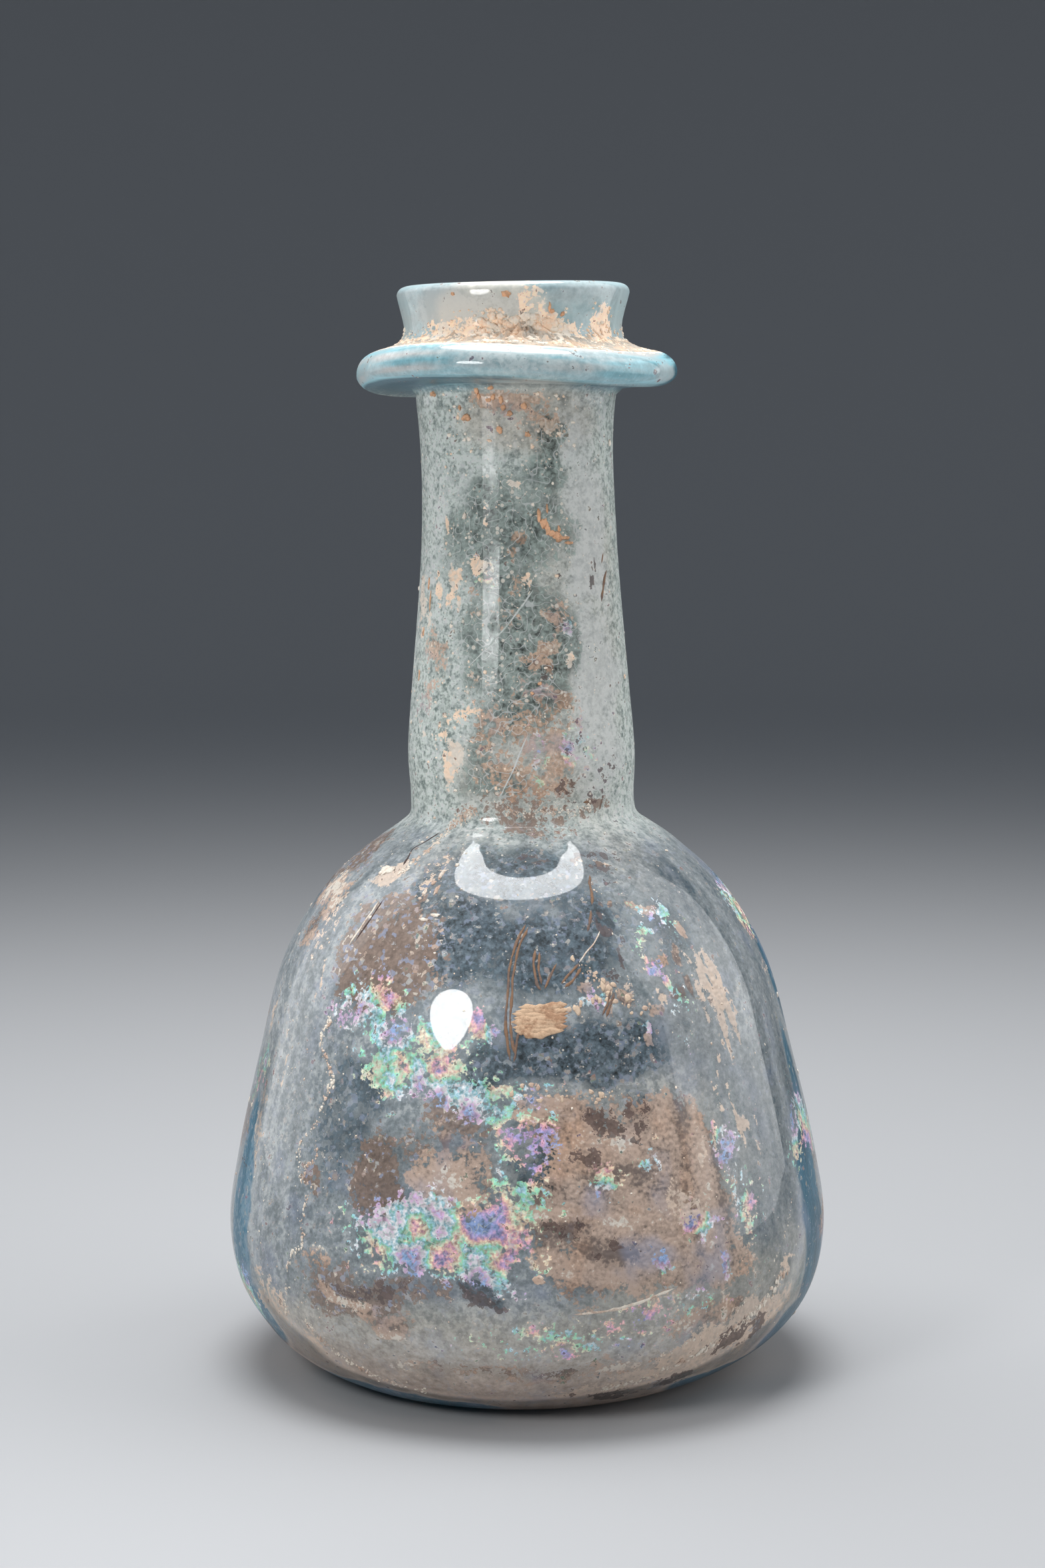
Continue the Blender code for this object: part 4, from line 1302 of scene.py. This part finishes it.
class BOTTLE_OT_glass(bpy.types.Operator):
    """Make the bottle's wall, inside and outside, with its film and stains"""

    bl_idname = "bottle.glass"
    bl_label = "Glass wall"

    def execute(self, context):
        shape = context.scene.bottle_shape
        finish = context.scene.bottle_finish
        inside = inside_outline(shape)
        outline = np.vstack([inside[:-1], outside_outline(shape)])
        points, quads, caps, turn, radius = closed_wall(outline, shape.sides)
        wall = plain_mesh("glass_wall", hand_work(points), quads, caps)
        mesh = wall.data
        mesh.set_sharp_from_angle(angle=SHARP_ANGLE)
        ragged = soft_noise(points, 5.0, 23) - 0.5
        store_finishes(mesh, points, turn, radius, ragged)
        store_tones(mesh, outline, points, turn, radius, ragged, shape.sides)
        mesh.materials.append(outer_glass(finish))
        mesh.materials.append(inner_glass(finish))
        slots = np.zeros(len(mesh.polygons), dtype=np.int32)
        slots[: (len(inside) - 2) * shape.sides] = 1
        slots[len(quads) : len(quads) + shape.sides] = 1
        mesh.polygons.foreach_set("material_index", slots)
        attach(wall, "root")
        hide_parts(CAD_NODE)
        return {"FINISHED"}


def lay_on_glass(name, parts, material):
    """Makes one piece of several meshes that lie on the wall, and sets it to move with the bottle."""
    points, quads, triangles = joined(parts)
    piece = plain_mesh(name, points, quads, triangles)
    piece.data.materials.append(material)
    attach(piece, "root")


class BOTTLE_OT_earth(bpy.types.Operator):
    """Heap orange earth in the collar's groove and strew crumbs under the collar"""

    bl_idname = "bottle.earth"
    bl_label = "Earth crumbs"

    def execute(self, context):
        outline = outside_outline(context.scene.bottle_shape)
        finish = context.scene.bottle_finish
        groove = [
            *heaped(31, 360, (-16.0, 24.0), 141.6, 145.4, 0.1, 0.6),
            *heaped(30, 200, (-34.0, 30.0), 141.6, 146.4, 0.06, 0.3),
            *heaped(32, 360, (-72.0, 72.0), 141.4, 144.0, 0.07, 0.26),
            *heaped(33, 60, (40.0, 62.0), 142.0, 147.0, 0.08, 0.3),
            *heaped(34, 360, (72.0, 288.0), 141.4, 144.6, 0.08, 0.36),
        ]
        neck = [
            *strewn(35, 70, (-45.0, 40.0), (127.0, 136.0), 0.07, 0.3, 0.5),
            *strewn(36, 80, (60.0, 300.0), (82.0, 136.0), 0.08, 0.4, 0.4),
            *strewn(37, 40, (-85.0, -40.0), (84.0, 126.0), 0.06, 0.24, 0.3),
            *strewn(38, 150, (-50.0, 30.0), (80.0, 128.0), 0.05, 0.24, 0.35),
            *strewn(39, 80, (-60.0, 60.0), (10.0, 72.0), 0.05, 0.16, 0.5),
        ]
        # Painted light and shade: the crumbs' lime is lightened, and the ledge's copy of the same colours is
        # darkened where the softbox lights its top
        dry = crumbly("dry_earth", dimmed(finish.lime, 1.15), finish.peach, 0.3)
        lay_on_glass("earth_crumbs", [lumps(outline, groove, 41), lumps(outline, neck, 42)], dry)
        shaded_ledge = crumbly("ledge_earth_painted_shade", dimmed(finish.lime, 0.6), dimmed(finish.peach, 0.68), 0.3)
        lay_on_glass("groove_crust", [groove_crust(outline)], shaded_ledge)
        rust = crumbly("rust_earth", finish.rust, dimmed(finish.rust, 0.66), 0.4)
        lay_on_glass("rust_flakes", [lumps(outline, RUST_FLAKES, 43, 5, 12, 0.4)], rust)
        return {"FINISHED"}


class BOTTLE_OT_lime(bpy.types.Operator):
    """Lay cream lime along the cracks and in flakes on neck and shoulder"""

    bl_idname = "bottle.lime"
    bl_label = "Lime crust"

    def execute(self, context):
        outline = outside_outline(context.scene.bottle_shape)
        finish = context.scene.bottle_finish
        chips = [
            *trail(51, LIME_CRACK, 260, 0.16, 0.07, 0.26),
            *trail(58, LIME_BRANCH, 50, 0.14, 0.06, 0.2),
            *trail(59, NECK_FOOT_CRUST, 280, 0.45, 0.06, 0.22, 0.4),
            *trail(60, NECK_FOOT_LEDGE, 160, 0.4, 0.05, 0.18, 0.4),
            *trail(63, FOOT_CRACK, 160, 0.3, 0.06, 0.22),
            *trail(64, FOOT_FOLD, 200, 0.35, 0.08, 0.4, 0.25),
            *trail(65, FOOT_FOLD_TOP, 90, 0.14, 0.05, 0.2, 0.25),
            *strewn(66, 120, (-66.0, -38.0), (12.0, 56.0), 0.05, 0.2, 0.4),
            *strewn(67, 90, (-60.0, -18.0), (60.0, 79.0), 0.05, 0.22, 0.4),
            *strewn(68, 90, (-10.0, 50.0), (44.0, 74.0), 0.05, 0.18, 0.4),
            *strewn(69, 160, (60.0, 300.0), (6.0, 76.0), 0.06, 0.36, 0.3),
        ]
        parts = [
            strand(outline, PALE_SLOT, 0.16, 0.08, 54),
            strand(outline, PALE_ROOT, 0.10, 0.10, 56),
            strand(outline, PALE_LINE, 0.18, 0.03, 57),
            lumps(outline, chips, 52),
            lumps(outline, FLAKES, 53, 7, 22, 0.5),
        ]
        lay_on_glass("lime_crust", parts, crumbly("lime", finish.lime, finish.earth, 0.45))
        lines = (NECK_SCRATCH, NECK_LOWER_SCRATCH)
        scratches = [strand(outline, path, 0.1, 0.012, 61 + i) for i, path in enumerate(lines)]
        scratch = crumbly("scratch", finish.milk, dimmed(finish.neck_film, 0.8), 0.5)
        lay_on_glass("neck_scratches", scratches, scratch)
        wood = []
        for i, (first, last, level) in enumerate(WOOD_FIBRES):
            path = [(first, level), ((first + last) / 2, level - 0.12), (last, level + 0.05)]
            wood.append(strand(outline, path, 0.46, 0.12, 110 + i))
        lay_on_glass("wood_scrap", wood, crumbly("old_wood", *WOOD_TINTS, 0.5))
        chips = [
            *trail(71, TAN_CHIP_LINE, 30, 0.5, 0.1, 0.5, 0.1),
            *trail(72, TAN_CHIP_SHELF, 20, 0.4, 0.1, 0.5, 0.1),
            *trail(73, TAN_CHIP_FOOT, 40, 0.5, 0.1, 0.45, 0.1),
        ]
        tan = crumbly("tan_soil", TAN_TINT, finish.earth, 0.4)
        lay_on_glass("tan_chips", [lumps(outline, chips, 76, 3, 8, 0.3)], tan)
        return {"FINISHED"}


class BOTTLE_OT_roots(bpy.types.Operator):
    """Lay dried roots on the shoulder, and darken its cracks"""

    bl_idname = "bottle.roots"
    bl_label = "Dried roots"

    def execute(self, context):
        outline = outside_outline(context.scene.bottle_shape)
        finish = context.scene.bottle_finish
        roots = [strand(outline, path, 0.17, 0.10, 80 + i) for i, path in enumerate(ROOTS)]
        roots.append(strand(outline, NECK_BROWN_STREAK, 0.22, 0.06, 96))
        roots += [strand(outline, path, 0.13, 0.05, 130 + i) for i, path in enumerate(NECK_FOOT_STROKES)]
        lay_on_glass("dried_roots", roots, crumbly("dried_root", finish.fibre, finish.earth_dark, 0.35))
        cracks = [strand(outline, DARK_CRACK, 0.13, 0.04, 97), strand(outline, DARK_SLOT, 0.15, 0.04, 98)]
        lay_on_glass("dark_cracks", cracks, crumbly("crack", finish.stain, finish.stain, 0.4))
        return {"FINISHED"}


def floor_material(shade):
    """Matt pale paper."""
    paint = Paint("pale_floor")
    return paint.finish(paint.principled(Base_Color=tuple(shade), Roughness=0.75, Specular_IOR_Level=0.2))


def lamp(name, power, kind, size, place, aim, spread):
    """An area lamp facing aim, unseen by the camera itself."""
    data = bpy.data.lights.new(name, "AREA")
    data.shape = kind
    data.size, data.size_y = size
    data.energy = power
    data.spread = math.radians(spread)
    body = bpy.data.objects.new(name, data)
    bpy.context.scene.collection.objects.link(body)
    body.visible_camera = False
    away = np.array(place) - np.array(aim)
    body.location = place
    turn = math.atan2(away[0], -away[1])
    body.rotation_euler = (math.acos(away[2] / np.linalg.norm(away)), 0.0, turn)


class BOTTLE_OT_studio(bpy.types.Operator):
    """Make the floor, the lamps and the camera"""

    bl_idname = "bottle.studio"
    bl_label = "Studio"

    def execute(self, context):
        studio = context.scene.bottle_studio
        flat = np.column_stack([np.linspace(0.0, FLOOR_REACH, 14), np.zeros(14)])
        sweep = arc((FLOOR_REACH, SWEEP), SWEEP, SWEEP, -90, 0, 24)
        edge = FLOOR_REACH + SWEEP
        rings = np.vstack([flat[1:], sweep[1:], [(edge, 1.2), (edge, WALL_TOP)]])
        disk = around(rings[:, :1], full_circle(FLOOR_SIDES)[None, :], rings[:, 1:]).reshape(-1, 3)
        quads = ring_quads(1, len(rings), FLOOR_SIDES)
        middle = pole_caps(len(rings), FLOOR_SIDES)[:FLOOR_SIDES]
        mesh = bpy.data.meshes.new("studio_floor")
        mesh.from_pydata([(0.0, 0.0, 0.0), *disk.tolist()], [], [*quads.tolist(), *middle.tolist()])
        mesh.update()
        mesh.shade_smooth()
        mesh.materials.append(floor_material(studio.floor_colour))
        floor = bpy.data.objects.new("studio_floor", mesh)
        context.scene.collection.objects.link(floor)

        lamp("overhead", studio.overhead_power, *OVERHEAD)
        lamp("key", studio.key_power, *KEY)
        lamp("card_right", studio.card_power, *RIGHT_CARD)
        lamp("card_left", studio.card_power * LEFT_SHARE, *LEFT_CARD)

        world = bpy.data.worlds.new("room")
        world.use_nodes = True
        air = world.node_tree.nodes["Background"]
        air.inputs["Color"].default_value = SKY
        air.inputs["Strength"].default_value = studio.room_light
        context.scene.world = world
        context.scene.view_settings.view_transform = "Standard"

        view = bpy.data.cameras.new("camera")
        view.lens = LENS
        view.sensor_width = SENSOR_WIDTH
        view.clip_start = 0.01
        camera = bpy.data.objects.new("camera", view)
        camera.location = CAMERA_PLACE
        camera.rotation_euler = (CAMERA_TILT, 0.0, 0.0)
        context.scene.collection.objects.link(camera)
        context.scene.camera = camera
        return {"FINISHED"}


OPERATORS = (BOTTLE_OT_studio, BOTTLE_OT_glass, BOTTLE_OT_earth, BOTTLE_OT_lime, BOTTLE_OT_roots)


class BOTTLE_PT_sidebar(bpy.types.Panel):
    """Lists the bottle's pieces and their settings"""

    bl_idname = "BOTTLE_PT_sidebar"
    bl_label = "Glass Bottle"
    bl_space_type = "VIEW_3D"
    bl_region_type = "UI"
    bl_category = "Glass Bottle"

    def draw(self, context):
        for operator in OPERATORS:
            self.layout.operator(operator.bl_idname)
        for group in (context.scene.bottle_shape, context.scene.bottle_finish, context.scene.bottle_studio):
            for name in group.__annotations__:
                self.layout.prop(group, name)


CLASSES = (BottleShape, BottleFinish, BottleStudio, *OPERATORS, BOTTLE_PT_sidebar)


def register():
    for made in CLASSES:
        bpy.utils.register_class(made)
    bpy.types.Scene.bottle_shape = PointerProperty(type=BottleShape)
    bpy.types.Scene.bottle_finish = PointerProperty(type=BottleFinish)
    bpy.types.Scene.bottle_studio = PointerProperty(type=BottleStudio)


def unregister():
    del bpy.types.Scene.bottle_studio
    del bpy.types.Scene.bottle_finish
    del bpy.types.Scene.bottle_shape
    for made in reversed(CLASSES):
        bpy.utils.unregister_class(made)


def main():
    register()
    bpy.ops.bottle.studio()
    bpy.ops.bottle.glass()
    bpy.ops.bottle.earth()
    bpy.ops.bottle.lime()
    bpy.ops.bottle.roots()


if __name__ == "__main__":
    main()
